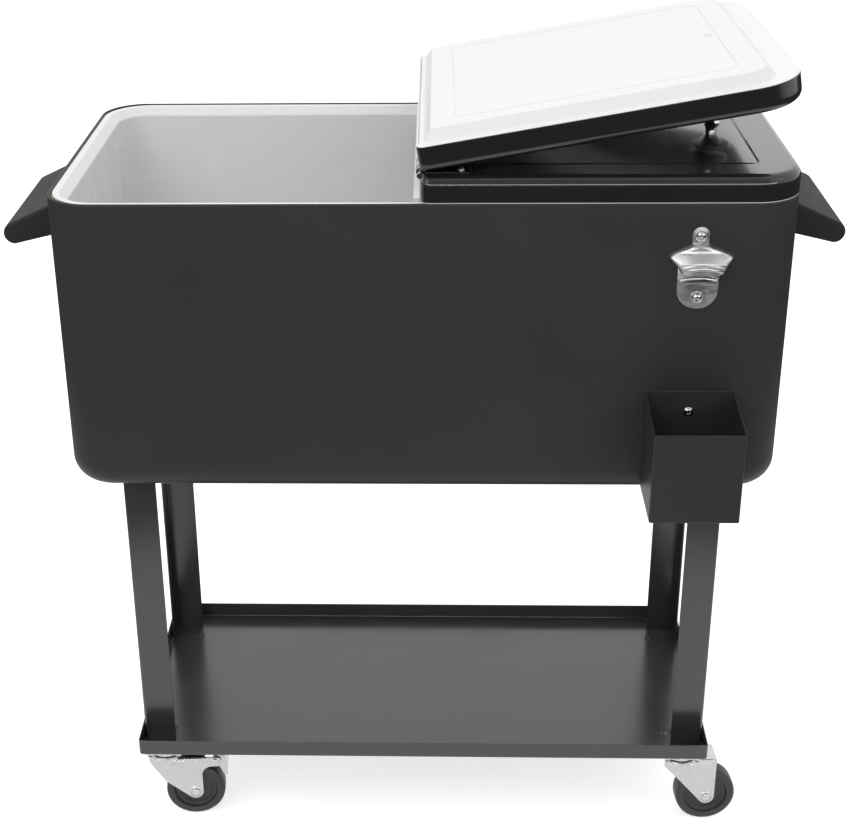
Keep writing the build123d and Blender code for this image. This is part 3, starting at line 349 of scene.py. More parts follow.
def surfaceMaterial(name, look):
    # Colour and roughness drift with two scales of noise, and fine grain lifts
    # the surface. Stretch draws the grain out along an axis, as brushing does.
    material = bpy.data.materials.new(name)
    material.use_nodes = True
    tree = material.node_tree
    place = newNode(tree, "TexCoord", {}).outputs["Object"]
    drawn = newNode(tree, "Mapping", {"Vector": place, "Scale": look["stretch"]}).outputs["Vector"]
    broadNoise = {"Vector": place, "Scale": look["driftScale"], "Detail": look["driftDetail"]}
    fineNoise = {"Vector": drawn, "Scale": look["grainScale"], "Detail": look["grainDetail"]}
    broad = newNode(tree, "TexNoise", broadNoise).outputs["Fac"]
    fine = newNode(tree, "TexNoise", fineNoise).outputs["Fac"]
    grain = mathNode(tree, "MULTIPLY_ADD", fine, look["grainTone"], -0.5 * look["grainTone"])
    drift = mathNode(tree, "ADD", broad, grain)
    base, spread = np.array(look["colour"], float), look["spread"]
    dark, pale = base * (1 - spread), np.minimum(base * (1 + spread), 1)
    tone = newNode(tree, "Mix", {"Factor": drift, "A": (*dark, 1), "B": (*pale, 1)}, data_type="RGBA")
    bump = newNode(tree, "Bump", {"Strength": look["bump"], "Distance": look["bumpDepth"], "Height": fine})
    feed(tree, tree.nodes["Principled BSDF"], {
        "Base Color": tone.outputs["Result"], "Metallic": look["metal"], "Specular IOR Level": look["specular"],
        "Roughness": mapRange(tree, drift, look["noiseLow"], look["noiseHigh"], *look["rough"]),
        "Coat Weight": look["coat"], "Coat Roughness": look["coatRough"], "Normal": bump.outputs["Normal"],
    })
    return material


paint = {name: surfaceMaterial(name, plainLook | look) for name, look in finishes.items()}
finishOf = {node: finish for finish, nodes in nodeFinish.items() for node in nodes}
for name, piece in frame["nodes"].items():
    for slot in piece.material_slots:
        slot.material = paint[finishOf.get(name, "zincPlate")]
print("stage: materials", len(paint))


# Steel box

boxShape = {
    "cornerRadius": 0.050, "bottomRadius": 0.028, "gauge": 0.001,
    "hemWidth": 0.004, "hemHeight": 0.005, "hemRound": 0.0018,
    "floorRun": 1.6,      # where the profile starts, in bottom radii
}


def makeBox():
    # One profile runs from the bottom's middle up the outside, over the rolled
    # rim and down the inside again, and is carried round the rounded rectangle.
    s = boxShape
    bottom, r, g = boxLow[2], s["bottomRadius"], s["gauge"]
    start, hemBottom = r * s["floorRun"], rimTop - s["hemHeight"]
    outside = cornerPath([(start, bottom), (0, bottom), (0, rimTop), (s["hemWidth"], rimTop),
                          (s["hemWidth"], hemBottom), (g, hemBottom)],
                         [0, r, s["hemRound"], s["hemRound"], g / 2, 0], steps=10, closed=False)
    inside = cornerPath([(g, hemBottom), (g, bottom + g), (start, bottom + g)], [0, r - g, 0], steps=8, closed=False)
    profile = np.concatenate([outside, inside[1:]])
    rows = insetRows(boxLow, boxHigh, s["cornerRadius"], profile, steps=14)
    newPiece("steelBox", stackMesh(rows), "outer_shell", "boxPaint")


makeBox()
print("stage: steel box")


# White tub

tubShape = {
    "wallInset": 0.020, "wall": 0.0025, "cornerRadius": 0.036, "bottomRadius": 0.024,
    "lipBevel": 0.009, "lipRound": 0.003, "outerRound": 0.002,
    "flangeInset": 0.0042, "flangeRound": 0.0006,
    "floorRun": 1.5,      # where the profile starts, in bottom radii
}


def makeTub():
    # Inside face from the floor's middle up the wall and over the lip to the
    # flange, then back down the outside, carried round the rounded rectangle.
    s = tubShape
    low, high = span("inner_liner")
    thick, b, bevel = s["wall"], s["bottomRadius"], s["lipBevel"]
    floor, top = low[2] + thick, high[2]
    wall, edge = s["wallInset"], s["flangeInset"]
    start, outWall = wall + b * s["floorRun"], wall - thick
    spare = thick * (math.sqrt(2) - 1)     # how far an even wall shifts a 45 degree bevel
    corners = [(start, floor), (wall, floor), (wall, top - bevel), (wall - bevel, top), (edge, top),
               (edge, top - thick), (wall - bevel - spare, top - thick), (outWall, top - bevel - spare),
               (outWall, floor - thick), (start, floor - thick)]
    radii = [0, b, s["lipRound"], s["lipRound"], s["flangeRound"],
             s["flangeRound"], s["outerRound"], s["outerRound"], b + thick, 0]
    profile = cornerPath(corners, radii, steps=8, closed=False)
    rows = insetRows(boxLow, boxHigh, s["cornerRadius"] + wall, profile)
    newPiece("whiteTub", flipped(stackMesh(rows)), "inner_liner", "tubPlastic")


makeTub()
print("stage: tub")


# Lids, made as the right lid lies closed, then swung over for the left one

lidShape = {
    "endRadius": 0.050, "hingeRadius": 0.009, "hingeShare": 0.57, "skin": 0.003, "lift": 0.0006,
    "hemLip": 0.0016, "hemRun": 1.4, "hemRise": 0.6,      # run and rise in hem lips
    "shoulder": 0.010, "topRun": 2.2,                     # run in shoulders
    "panelFront": 0.045, "panelEnd": 0.043, "panelHinge": 0.060, "panelRadius": 0.006,
    "panelStep": 0.0011, "grooveWidth": 0.0022,
    # the groove's line, as half widths outwards and steps down
    "groove": ((-1.6, 0), (-1, 0), (-0.4, 0.7), (0, 1), (0.4, 1), (1, 0.55), (1.6, 0.4), (5, 0.4)),
}
linerShape = {
    "inset": 0.0003,
    # the flange's edge, as a further inset and a height
    "flange": ((0.001, 0.002), (0.001, 0.0012), (0, 0.0011), (0, 0.0003), (0.0003, 0), (0.003, 0)),
    "flangeFront": 0.0125, "flangeEnd": 0.025, "flangeHinge": 0.008,
    "plugHeight": 0.0115, "plugRun": 0.009, "plugRound": (0, 0.002, 0.003, 0),
    "plugEndRadius": 0.030, "plugHingeRadius": 0.010, "plugLeast": 0.003,
    "recessInset": 0.034, "recessDepth": 0.0008, "recessRun": 1.6, "recessRound": (0, 0.004, 0.004, 0),
    "recessRadius": 0.016, "recessLeast": 0.006,
    "levelIn": 0.006, "levelOut": 0.02,
}

halfTurn = Matrix.Rotation(math.pi, 4, "Z")
closedToOpen = shift(*hingeAxis) @ Matrix.Rotation(lidOpen, 4, "Y") @ halfTurn @ shift(*-hingeAxis)
lidRadii = np.array([lidShape[key] for key in ("hingeRadius", "endRadius", "endRadius", "hingeRadius")])


def bothLids(name, part, node, finish):
    for side, matrix in (("right", Matrix.Identity(4)), ("left", closedToOpen)):
        newPiece(side + name, moved(part, matrix), side + "_" + node, finish, side + "_lid")


def lidShellPart():
    # The inner skin down to the hemmed edge, the outer skin up the side and over
    # the shoulder, then a fine groove round a slightly sunk panel.
    s = lidShape
    bottom, top = lidLow[2] + s["lift"], lidHigh[2]
    lip, skin = s["hemLip"], s["skin"]
    inner = [(skin, top - skin), (skin, bottom + lip), (lip * s["hemRun"], bottom + lip * s["hemRise"])]
    outer = cornerPath([(lip * s["hemRun"], bottom), (0, bottom), (0, top), (s["shoulder"] * s["topRun"], top)],
                       [0, lip / 2, s["shoulder"], 0], steps=10, closed=False)
    rows = insetRows(lidLow, lidHigh, lidRadii, [*inner, *outer], hingeShare=s["hingeShare"])
    panelLow = (s["panelHinge"], lidLow[1] + s["panelFront"])
    panelHigh = (lidHigh[0] - s["panelEnd"], lidHigh[1] - s["panelFront"])
    w, d = s["grooveWidth"] / 2, s["panelStep"]
    groove = [(w * across, top - d * down) for across, down in s["groove"]]
    rows += insetRows(panelLow, panelHigh, s["panelRadius"] + w * 2, groove)
    return stackMesh(rows)


def lidLinerPart():
    # Flange, then the plug's sloped wall down to its raised frame, and a shallow
    # recess with soft edges; all radii shrink with the inset.
    s = linerShape
    z, h, depth = lidLow[2], s["plugHeight"], s["recessDepth"]

    def slope(start, end, run, rounds, steps):
        # A level run, the slope and a level run again.
        path = [(-s["levelIn"], start), (0, start), (run, end), (run + s["levelOut"], end)]
        return cornerPath(path, rounds, steps, closed=False)

    flange = [(s["inset"] + inward, z + up) for inward, up in s["flange"]]
    rows = insetRows(lidLow, lidHigh, lidRadii, flange)
    plugLow = lidLow[:2] + (s["flangeHinge"], s["flangeFront"])
    plugHigh = lidHigh[:2] - (s["flangeEnd"], s["flangeFront"])
    plugRadii = [s["plugHingeRadius"], s["plugEndRadius"], s["plugEndRadius"], s["plugHingeRadius"]]
    rise = slope(z, z - h, s["plugRun"], s["plugRound"], 6)[:-1]
    rows += insetRows(plugLow, plugHigh, plugRadii, rise, leastRadius=s["plugLeast"])
    dip = slope(z - h, z - h + depth, depth * s["recessRun"], s["recessRound"], 5)
    inset = s["recessInset"]
    rows += insetRows(plugLow + inset, plugHigh - inset, s["recessRadius"], dip, leastRadius=s["recessLeast"])
    return flipped(stackMesh(rows))


bothLids("LidShell", lidShellPart(), "lid_shell", "lidPaint")
bothLids("LidLiner", lidLinerPart(), "lid_liner", "lidPlastic")
print("stage: lids")


# Knobs

knobShape = {
    "base": 0.0085, "baseHeight": 0.0012, "baseShare": 0.3, "waist": 0.0062,
    "collar": 0.0122, "flareFrom": 0.25, "flarePower": 2.2, "footShrink": 0.9,
    "headRadius": 0.0207, "sideShare": 0.62, "flat": 0.011, "tip": 0.0008,
    "edge": 0.0021, "shoulderGrow": 1.4, "domeGrow": 2.5,
}


def knobParts():
    # Lathed outlines: a neck that widens to both ends, as powers of the height,
    # and a head with a rounded edge and a low dome.
    s = knobShape
    low, high = span("right_knob_head")
    neckLow, neckHigh = span("right_knob_neck")
    centre = (low[0] + high[0]) / 2, (low[1] + high[1]) / 2
    rise = np.linspace(0, 1, 18)
    flare = np.clip((rise - s["flareFrom"]) / (1 - s["flareFrom"]), 0, 1) ** s["flarePower"]
    radius = s["waist"] + (s["collar"] - s["waist"]) * flare
    radius += (s["base"] - s["waist"]) * np.clip(1 - rise / s["baseShare"], 0, 1) ** 2
    level = s["baseHeight"] + (neckHigh[2] - neckLow[2] - s["baseHeight"]) * rise
    neck = np.vstack([[(s["base"] * s["footShrink"], 0)], np.column_stack([radius, level])])
    height, edge = high[2] - low[2], s["edge"]
    head = cornerPath([(s["collar"] * s["footShrink"], 0), (s["headRadius"], 0),
                       (s["headRadius"], height * s["sideShare"]), (s["flat"], height), (s["tip"], height)],
                      [0, edge, edge * s["shoulderGrow"], edge * s["domeGrow"], 0], steps=7, closed=False)
    return latheMesh(neck, (*centre, neckLow[2])), latheMesh(head, (*centre, low[2]), count=64)


neckPart, headPart = knobParts()
bothLids("KnobNeck", neckPart, "knob_neck", "chromePlate")
bothLids("KnobHead", headPart, "knob_head", "knobPlastic")
print("stage: knobs")


# Legs: folded angle with a tab at the foot and the head

cartCorners = ("front_left", "front_right", "back_left", "back_right")
legShape = {
    "gauge": 0.002, "bend": 0.0032, "edge": 0.0006, "play": 0.0001,
    "tabCorner": 0.003, "pad": 0.0006, "padRound": 0.3,
}


def makeLeg(node):
    # Made from its outer corner at the origin, then set in its own corner of the
    # cart, with both flanges pointing inwards.
    s = legShape
    low, high = span(node)
    right, behind = low[0] > 0, (low[1] + high[1]) / 2 > centreY
    width, depth = high[0] - low[0], high[1] - low[1]
    g, e = s["gauge"], s["edge"]
    angle = cornerPath([(0, 0), (width, 0), (width, g), (g, g), (g, depth), (0, depth)],
                       [s["bend"], e, e, s["bend"] - g, e, e], steps=5)
    tab = cornerPath(rectangle(e / 2, e / 2, width, depth), [s["bend"]] + [s["tabCorner"]] * 3, steps=5)
    part = joinMeshes([roundedPlate(angle, low[2] + s["play"], high[2] - s["play"], e / 2),
                       roundedPlate(tab, low[2], low[2] + s["pad"], s["pad"] * s["padRound"]),
                       roundedPlate(tab, high[2] - g, high[2], e)])
    part = mirrored(part, 0) if right else part
    points, faces = mirrored(part, 1) if behind else part
    points = points + (high[0] if right else low[0], high[1] if behind else low[1], 0)
    newPiece(node.replace("_", "") + "Angle", (points, faces), node, "cartPaint")


for corner in cartCorners:
    makeLeg(corner + "_leg")
print("stage: legs")


# Shelf tray and the bolts through it

trayShape = {
    "gauge": 0.0015, "run": 0.02, "bend": 0.0028, "bendSteps": 6, "edge": 0.0006,
    "corner": 0.004, "cornerSteps": 8, "leastRadius": 0.0012,
}
boltShape = {
    "halfX": 0.018, "halfY": 0.020,
    # shank and countersunk head, as a radius and a height over the deck
    "line": ((0.0025, -0.011), (0.0025, -0.0018), (0.0042, -0.0002),
        (0.0042, 0.00009), (0.00399, 0.00015), (0.00084, 0.00015)),
}


def makeCasterBolts():
    # Four over each swivel, on the deck or on a leg's tab, painted like the tray.
    s = boltShape
    deck = span("shelf_tray")[0][2] + trayShape["gauge"]
    legs = [span(corner + "_leg") for corner in cartCorners]
    swivels = [joint["pos_m"] for name, joint in jointOf.items() if name.endswith("_swivel")]
    steps = [(x, y) for x in (-s["halfX"], s["halfX"]) for y in (-s["halfY"], s["halfY"])]
    bolts = []
    for x, y in [(swivel[0] + step[0], swivel[1] + step[1]) for swivel in swivels for step in steps]:
        onLeg = any(low[0] < x < high[0] and low[1] < y < high[1] for low, high in legs)
        top = deck + legShape["pad"] if onLeg else deck
        bolts.append(latheMesh([(radius, top + up) for radius, up in s["line"]], (x, y, 0), count=28))
    newPiece("casterBoltHeads", joinMeshes(bolts), "caster_bolts", "cartPaint")


newPiece("shelfPan", stackMesh(panRows("shelf_tray", trayShape)), "shelf_tray", "cartPaint")
makeCasterBolts()
print("stage: tray")


# Handles: a bent hood with closed ends and a flange against the wall

handleShape = {
    "noseRadius": 0.012, "slope": 25.0, "gauge": 0.0015, "arcSteps": 18,
    "endRise": 0.014, "endThick": 0.0045, "round": 0.0040, "roundSteps": 6,
    "flange": 0.024, "flangeDrops": (2, 1.6, 1.2),      # under the hood's top, in gauges
}


def handlePart():
    # The hood's section is a slope and a nose, an outer line and the same line a
    # gauge further in. Each end plate is rounded on its outer edge alone.
    s = handleShape
    low, high = span("right_handle")
    wallX, top, half = low[0], high[2], (high[1] - low[1]) / 2
    slope, r, g = math.radians(s["slope"]), s["noseRadius"], s["gauge"]
    sweep = np.linspace(math.pi / 2 - slope, -math.pi / 2, s["arcSteps"])
    nose = (high[0] - r, low[2] + r)
    outer = np.vstack([[(wallX, top)], arcPoints(nose, (r, r), sweep)])
    inner = np.vstack([[(wallX, top - g / math.cos(slope))], arcPoints(nose, (r - g, r - g), sweep)])
    inside, edge = half - s["endThick"], s["round"]
    level = [(0, -inside), (0, inside)]
    hood = alongY(layeredPlate(np.vstack([outer, inner[::-1]])[::-1], level))

    angle = np.linspace(0, math.pi / 2, s["roundSteps"] + 1)
    layers = [(0, inside), *zip(edge * (1 - np.cos(angle)), half - edge * (1 - np.sin(angle)))]
    endOutline = np.vstack([outer, [(wallX, low[2] + s["endRise"])]])[::-1]
    end = alongY(layeredPlate(clearDoubles(endOutline), layers))

    under, free, against = (top - g * drop for drop in s["flangeDrops"])
    foot = under - s["flange"]
    flange = [(wallX, foot), (wallX + g, foot), (wallX + g, free), (wallX, against)]
    points, faces = joinMeshes([hood, *bothSides(end), alongY(layeredPlate(flange, level))])
    points[:, 1] += (low[1] + high[1]) / 2
    return points, faces


rightHood = handlePart()
for side, part in (("right", rightHood), ("left", mirrored(rightHood, 0))):
    newPiece(side + "HandleHood", part, side + "_handle", "handlePaint")
print("stage: handles")


# Bottle opener, with its places given as drops from its top

openerShape = {
    "tabRadius": 0.0087, "tabDrop": 0.03, "footRadius": 0.02125, "footOverlap": 0.004,
    "plate": 0.002, "edge": 0.0008, "wall": 0.0016, "gap": 0.0002,
    "hoodTop": 0.0175, "mouth": 0.0475, "reach": 0.015, "lean": 0.0030,
    # the hood's half width at each drop
    "drops": (0.0175, 0.0192, 0.0215, 0.0245, 0.0275, 0.0300, 0.0318, 0.0334, 0.0350, 0.0390, 0.0430, 0.0475),
    "halves": (0.0087, 0.0110, 0.0170, 0.0236, 0.0292, 0.0322, 0.0329, 0.0321, 0.0308, 0.0274, 0.0242, 0.0216),
    # the step down the hood: first bend, then slope
    "tipDrop": 0.0318, "bendFrom": -0.0012, "bend": 0.0030, "bendShare": 0.42,
    "arch": 0.0055, "slopeDrop": 0.026, "lipDrop": 0.0425,
    "wingFall": 0.40, "wingPower": 2.2, "closePower": 36, "wingWall": 0.3,
    "ridge": 0.0007, "ridgeWidth": 0.0008, "ridgeDrops": (0.0372, 0.0402, 0.0432), "ridgeFade": (0.04, 0.2),
    "tooth": 0.014, "toothRise": 0.0035, "toothTaper": 0.8, "toothThick": 0.0050, "toothRound": (0.0007, 0.0005),
    # the bead pressed across the foot plate
    "beadHalf": 0.0228, "beadRise": 0.0062, "beadDrop": 0.0112, "beadWidth": 0.0060,
    "beadOut": 0.0026, "beadIn": 0.001, "beadRound": 0.0025, "beadFrom": 0.16,
    # the raised ring round each screw
    "screwDrops": (0.009, 0.076),
    "ring": ((0.0067, -0.0004), (0.0067, 0.0002), (0.0063, 0.0005),
        (0.0056, 0.0005), (0.0051, 0.0001), (0.0051, -0.0004)),
}


def hoodPart(midX, wallY, top):
    # The hood's front stands off the wall by the plate plus a smooth step down the
    # hood, less a share that grows towards the wings, and closes to the wall there.
    s = openerShape
    down = np.linspace(s["hoodTop"], s["mouth"], 44)
    half = np.interp(down, s["drops"], s["halves"])
    across = np.sin(np.linspace(-1, 1, 61) * math.pi / 2)
    side = np.abs(across)
    # The first bend follows the hood's upper edge, at the drop where the outline is
    # as wide as the point; ridges and lip follow lines that fall towards the wings.
    wide = s["drops"].index(s["tipDrop"]) + 1
    edgeDrop = np.interp(np.abs(np.outer(half, across)), s["halves"][:wide], s["drops"][:wide])
    edgeDrop = np.where(down[:, None] < s["tipDrop"], edgeDrop, np.minimum(edgeDrop, down[:, None]))
    arched = down[:, None] - s["arch"] * side[None, :] ** 2 + s["arch"] * 0.5
    rise = s["bendShare"] * smoothStep(down[:, None] - edgeDrop, s["bendFrom"], s["bend"])
    rise += (1 - s["bendShare"]) * smoothStep(arched, s["slopeDrop"], s["lipDrop"])
    bulge = (1 - s["wingFall"] * side ** s["wingPower"]) * np.sqrt(np.maximum(1 - side ** s["closePower"], 0))
    frontOut = (s["plate"] + s["reach"] * rise) * bulge
    ridges = sum(np.exp(-((arched - drop) / s["ridgeWidth"]) ** 2) for drop in s["ridgeDrops"])
    frontOut += s["ridge"] * ridges * smoothStep(1 - side, *s["ridgeFade"])
    frontOut = np.maximum(frontOut, 0)
    backOut = np.maximum(frontOut - s["wall"] * (1 + s["wingWall"] * side), 0)
    lean = s["lean"] * smoothStep(down, s["hoodTop"], s["mouth"])[:, None]
    z = np.repeat((top - down)[:, None], len(across), 1)
    outerX = midX + lean + np.outer(half, across)
    innerX = midX + lean + np.outer(half - s["wall"], across)
    outer = np.stack([outerX, wallY - s["gap"] - frontOut, z], -1)
    inner = np.stack([innerX, wallY - s["gap"] - backOut, z], -1)[:, ::-1]
    return flipped(stackMesh(np.concatenate([outer, inner], 1)))


def openerParts(midX, wallY, bottom, top):
    # Tab and foot plate end in half circles; the bead is a band between two low
    # arcs; the rings are lathed, and the tooth is a small tapered plate.
    s = openerShape
    r, f, plateY, mouthZ = s["tabRadius"], s["footRadius"], wallY - s["plate"], top - s["mouth"]
    tabArc = arcPoints((midX, top - r), (r, r), np.linspace(0, math.pi, 25))
    tab = np.vstack([[(midX - r, top - s["tabDrop"]), (midX + r, top - s["tabDrop"])], tabArc])
    footArc = arcPoints((midX, bottom + f), (f, f), np.linspace(math.pi, 2 * math.pi, 33))
    footTop = mouthZ + s["footOverlap"]
    foot = np.vstack([footArc, [(midX + f, footTop), (midX - f, footTop)]])
    parts = [alongY(roundedPlate(outline, plateY, wallY, s["edge"])) for outline in (tab, foot)]

    bend = np.linspace(s["beadFrom"] * math.pi, (1 - s["beadFrom"]) * math.pi, 25)
    radii, beadZ = (s["beadHalf"], s["beadRise"]), mouthZ - s["beadDrop"]
    band = np.vstack([arcPoints((midX, beadZ), radii, bend),
                      arcPoints((midX, beadZ - s["beadWidth"]), radii, bend)[::-1]])
    parts.append(alongY(roundedPlate(band, plateY - s["beadOut"], wallY - s["beadIn"], s["beadRound"], 7)))
    parts += [latheMesh(s["ring"], (midX, plateY, top - drop), count=40, forward=True) for drop in s["screwDrops"]]

    w, up = s["tooth"] / 2, s["toothRise"]
    tip = w * s["toothTaper"]
    corners = [(midX - w, mouthZ), (midX + w, mouthZ), (midX + tip, mouthZ + up), (midX - tip, mouthZ + up)]
    tooth = cornerPath(corners, s["toothRound"][0], steps=3)
    frontY = plateY - s["reach"] + s["gap"]
    parts.append(alongY(roundedPlate(tooth, frontY, frontY + s["toothThick"], s["toothRound"][1])))
    return parts


def makeOpener():
    low, high = span("bottle_opener")
    midX, wallY = (low[0] + high[0]) / 2, high[1]
    part = joinMeshes([hoodPart(midX, wallY, high[2]), *openerParts(midX, wallY, low[2], high[2])])
    newPiece("openerStamping", part, "bottle_opener", "brushedSteel", sharpAngle=40)


makeOpener()
print("stage: opener")


# Wall screws with a star recess

screwShape = {
    "washer": 0.0045, "dome": 0.0024, "shank": 0.0024, "shankLength": 0.008,
    "recess": 0.0017, "depth": 0.0014, "rimGrow": 1.14, "points": 6, "wave": 0.16, "catcherGrow": 1.25,
    # the dome, as shares of the washer's radius and the dome's height
    "domeLine": ((0.97, 0), (1, 0.12), (0.95, 0.34), (0.86, 0.56), (0.68, 0.85), (0.5, 0.97)),
    # the recess, as shares of its radius, the dome's height and its own depth
    "starLine": ((1.04, 0.985, 0), (1, 0.94, 0), (0.94, 1, 1), (0.3, 1, 1.15)),
}


def screwHead(place, grow=1):
    # A domed head outwards along -Y. Only the rings inside the recess swing.
    s = screwShape
    w, d, r = s["washer"] * grow, s["dome"], s["recess"] * grow
    line = [(s["shank"], -s["shankLength"], 0), (s["shank"], 0, 0)]
    line += [(w * out, d * up, 0) for out, up in s["domeLine"]] + [(r * s["rimGrow"], d, 0)]
    line += [(r * out, d * up - s["depth"] * sunk, s["wave"]) for out, up, sunk in s["starLine"]]
    line = np.array(line)
    return latheMesh(line[:, :2], place, forward=True, wave=line[:, 2], waves=s["points"])


def makeWallScrews():
    low, high = span("bottle_opener")
    midX, frontY = (low[0] + high[0]) / 2, high[1] - openerShape["plate"]
    heads = [screwHead((midX, frontY, high[2] - drop)) for drop in openerShape["screwDrops"]]
    newPiece("openerScrewHeads", joinMeshes(heads), "opener_screws", "screwSteel", sharpAngle=30)
    low, high = span("catcher_screw")
    place = (low[0] + high[0]) / 2, low[1] + screwShape["dome"], (low[2] + high[2]) / 2
    head = screwHead(place, screwShape["catcherGrow"])
    newPiece("catcherScrewHead", head, "catcher_screw", "screwSteel", sharpAngle=30)


makeWallScrews()


# Cap catcher

catcherShape = {
    "gauge": 0.0012, "run": 0.02, "bend": 0.0022, "bendSteps": 5, "edge": 0.0005,
    "corner": 0.0022, "cornerSteps": 6, "leastRadius": 0.0008, "rimDrop": 0.010,
}


def makeCatcher():
    # A pan whose heights near the rim fall towards the front, by the share of the
    # height times the share of the depth.
    low, high = span("cap_catcher")
    rows = np.array(panRows("cap_catcher", catcherShape))
    lift = (rows[:, :, 2] - low[2]) / (high[2] - low[2])
    rows[:, :, 2] -= catcherShape["rimDrop"] * lift * (high[1] - rows[:, :, 1]) / (high[1] - low[1])
    newPiece("catcherBox", stackMesh(rows), "cap_catcher", "boxPaint")


makeCatcher()
print("stage: catcher")


# Casters, made about their own swivel axis with the wheel trailing along X

casterShape = {"trail": 0.0335, "wheel": 0.037}
plateShape = {
    "halfX": 0.026, "halfY": 0.028, "corner": 0.008, "edge": 0.0006, "bottom": 0.1043, "top": 0.1068,
    "cup": 0.020, "raceBottom": 0.0948,
    # the ball race's cup, as shares of its radius and heights over its bottom
    "cupLine": ((0.64, 0.0006), (0.70, 0), (0.90, 0), (0.985, 0.0008), (1, 0.0022), (0.985, 0.0038),
        (0.95, 0.0046), (0.965, 0.0058), (1.03, 0.0072), (1.10, 0.0086), (1.13, 0.0097)),
}
forkShape = {
    "crown": 0.0215, "crownTop": 0.0935, "crownBottom": 0.0910, "crownOpen": 47, "cheekIn": 0.0135,
    "cheekOut": 0.0157, "edge": 0.0006, "sink": 0.0001, "end": 0.010, "shoulderDrop": 0.0045,
    "waistX": -0.0028, "waistZ": 0.065, "cheekRounds": (0.0012, 0.0040, 0.014, 0.010), "backRound": 0.004,
    # the braked fork's lower waist, and the arm that carries the pedal
    "brakedWaistZ": 0.055, "armStart": 0.009, "armStep": 0.005, "armTop": 0.0878, "armBottom": 0.0745,
    "armEnd": 0.0672, "armBack": 0.0005, "armRounds": (0.012, 0.0058, 0.0056, 0.003, 0.0015),
    # lathed details, as a radius and a height
    "ripple": ((0.0205, 0.0915), (0.0215, 0.0922), (0.0219, 0.0932), (0.0212, 0.0941),
        (0.0200, 0.0944), (0.0188, 0.0940), (0.0180, 0.0932), (0.0150, 0.0930)),
    "boss": ((0.0086, 0), (0.0084, 0.0006), (0.0078, 0.0010), (0.0068, 0.0010), (0.0065, 0)),
    "stamp": ((0.0026, 0), (0.0024, 0.0006), (0.0014, 0.0009), (0.0004, 0.0010)),
    "stampX": 0.008, "stampZ": 0.0795,
}
crestShape = {
    "start": -0.016, "fade": 0.004, "drop": 0.0028, "wave": 0.0011, "length": 0.021,
    "radius": 0.0011, "least": 0.0001, "flat": 0.55, "armDip": 0.0026, "dipFrom": 0.006, "dipTo": 0.003,
}
wheelShape = {
    "count": 72,
    # half its section: bore, hub, dish, face and tread, as a radius and a half width
    "section": ((0.0031, 0.01225), (0.0089, 0.01225), (0.0095, 0.011625), (0.0107, 0.0089), (0.0117, 0.0083),
        (0.0210, 0.0083), (0.0218, 0.0078), (0.0254, 0.0081), (0.0264, 0.0093), (0.0270, 0.0117),
        (0.0280, 0.0124), (0.0295, 0.0125), (0.03301, 0.0121), (0.0349, 0.011492),
        (0.036412, 0.009896), (0.0368, 0.00809), (0.037, 0.00375)),
}
pedalShape = {
    "pivot": (0.0595, 0.082), "sideIn": 0.0107, "sideOut": 0.0120, "sideEdge": 0.0004,
    # outlines from the pivot
    "side": ((-0.001, -0.005), (0.006, -0.011), (0.0105, -0.0225), (0.0150, -0.0235),
        (0.0158, -0.006), (0.0125, 0.0062), (-0.001, 0.0062)),
    "sideRounds": (0.003, 0.006, 0.0012, 0.0012, 0.006, 0.003, 0.003),
    "back": ((0.0105, 0.0060), (0.0143, -0.006), (0.0137, -0.0232)), "backRounds": (0, 0.012, 0),
    "backHalf": 0.0112, "backThick": 0.0012, "backEdge": 0.0002,
}


def axleCorner(start, centre, radius, wallX):
    # Where the line from the start, tangent below the circle, meets the wall.
    reach = np.array(centre) - np.array(start)
    heading = math.atan2(reach[1], reach[0]) - math.asin(radius / math.hypot(*reach))
    run = (wallX - start[0]) / math.cos(heading)
    return (wallX, start[1] + run * math.sin(heading))


def cheekOutline(braked):
    # From the crown down the front, round below the axle and up the back, which
    # on a braked fork first goes round the arm.
    s = forkShape
    back = casterShape["trail"] + s["end"]
    waist = (s["waistX"], s["brakedWaistZ"] if braked else s["waistZ"])
    foot = axleCorner(waist, (casterShape["trail"], casterShape["wheel"]), s["end"], back)
    corners = [(-s["crown"], s["crownTop"]), (-s["crown"], s["crownBottom"] - s["shoulderDrop"]), waist, foot]
    if not braked:
        return cornerPath(corners + [(back, s["crownTop"])], [*s["cheekRounds"], s["backRound"]], steps=7)
    corners += [(back - s["armBack"], s["armBottom"]), (s["armEnd"], s["armBottom"]), (s["armEnd"], s["armTop"]),
                (s["armStart"] + s["armStep"], s["armTop"]), (s["armStart"], s["crownTop"])]
    return cornerPath(corners, s["cheekRounds"] + s["armRounds"], steps=7)


def crestPart(braked):
    # A bead pressed along the top of the cheek, its height a slow sine of x, and
    # its radius fading out at both ends.
    s, around = crestShape, np.linspace(0, 2 * math.pi, 10, endpoint=False)
    trail, arm = casterShape["trail"], forkShape["armStart"]
    x = np.linspace(s["start"], trail + s["fade"], 48)
    z = forkShape["crownBottom"] - s["drop"] + s["wave"] * np.sin(x * 2 * math.pi / s["length"])
    if braked:
        z -= s["armDip"] * smoothStep(x, arm - s["dipFrom"], arm + s["dipTo"])
    fade = smoothStep(x, s["start"], s["start"] + s["fade"]) * (1 - smoothStep(x, trail, trail + s["fade"]))
    radius = s["radius"] * fade + s["least"]
    rows = [np.repeat(x[:, None], len(around), 1),
            -forkShape["cheekOut"] + np.outer(radius * s["flat"], np.cos(around)),
            z[:, None] + np.outer(radius, np.sin(around))]
    return stackMesh(np.stack(rows, -1))


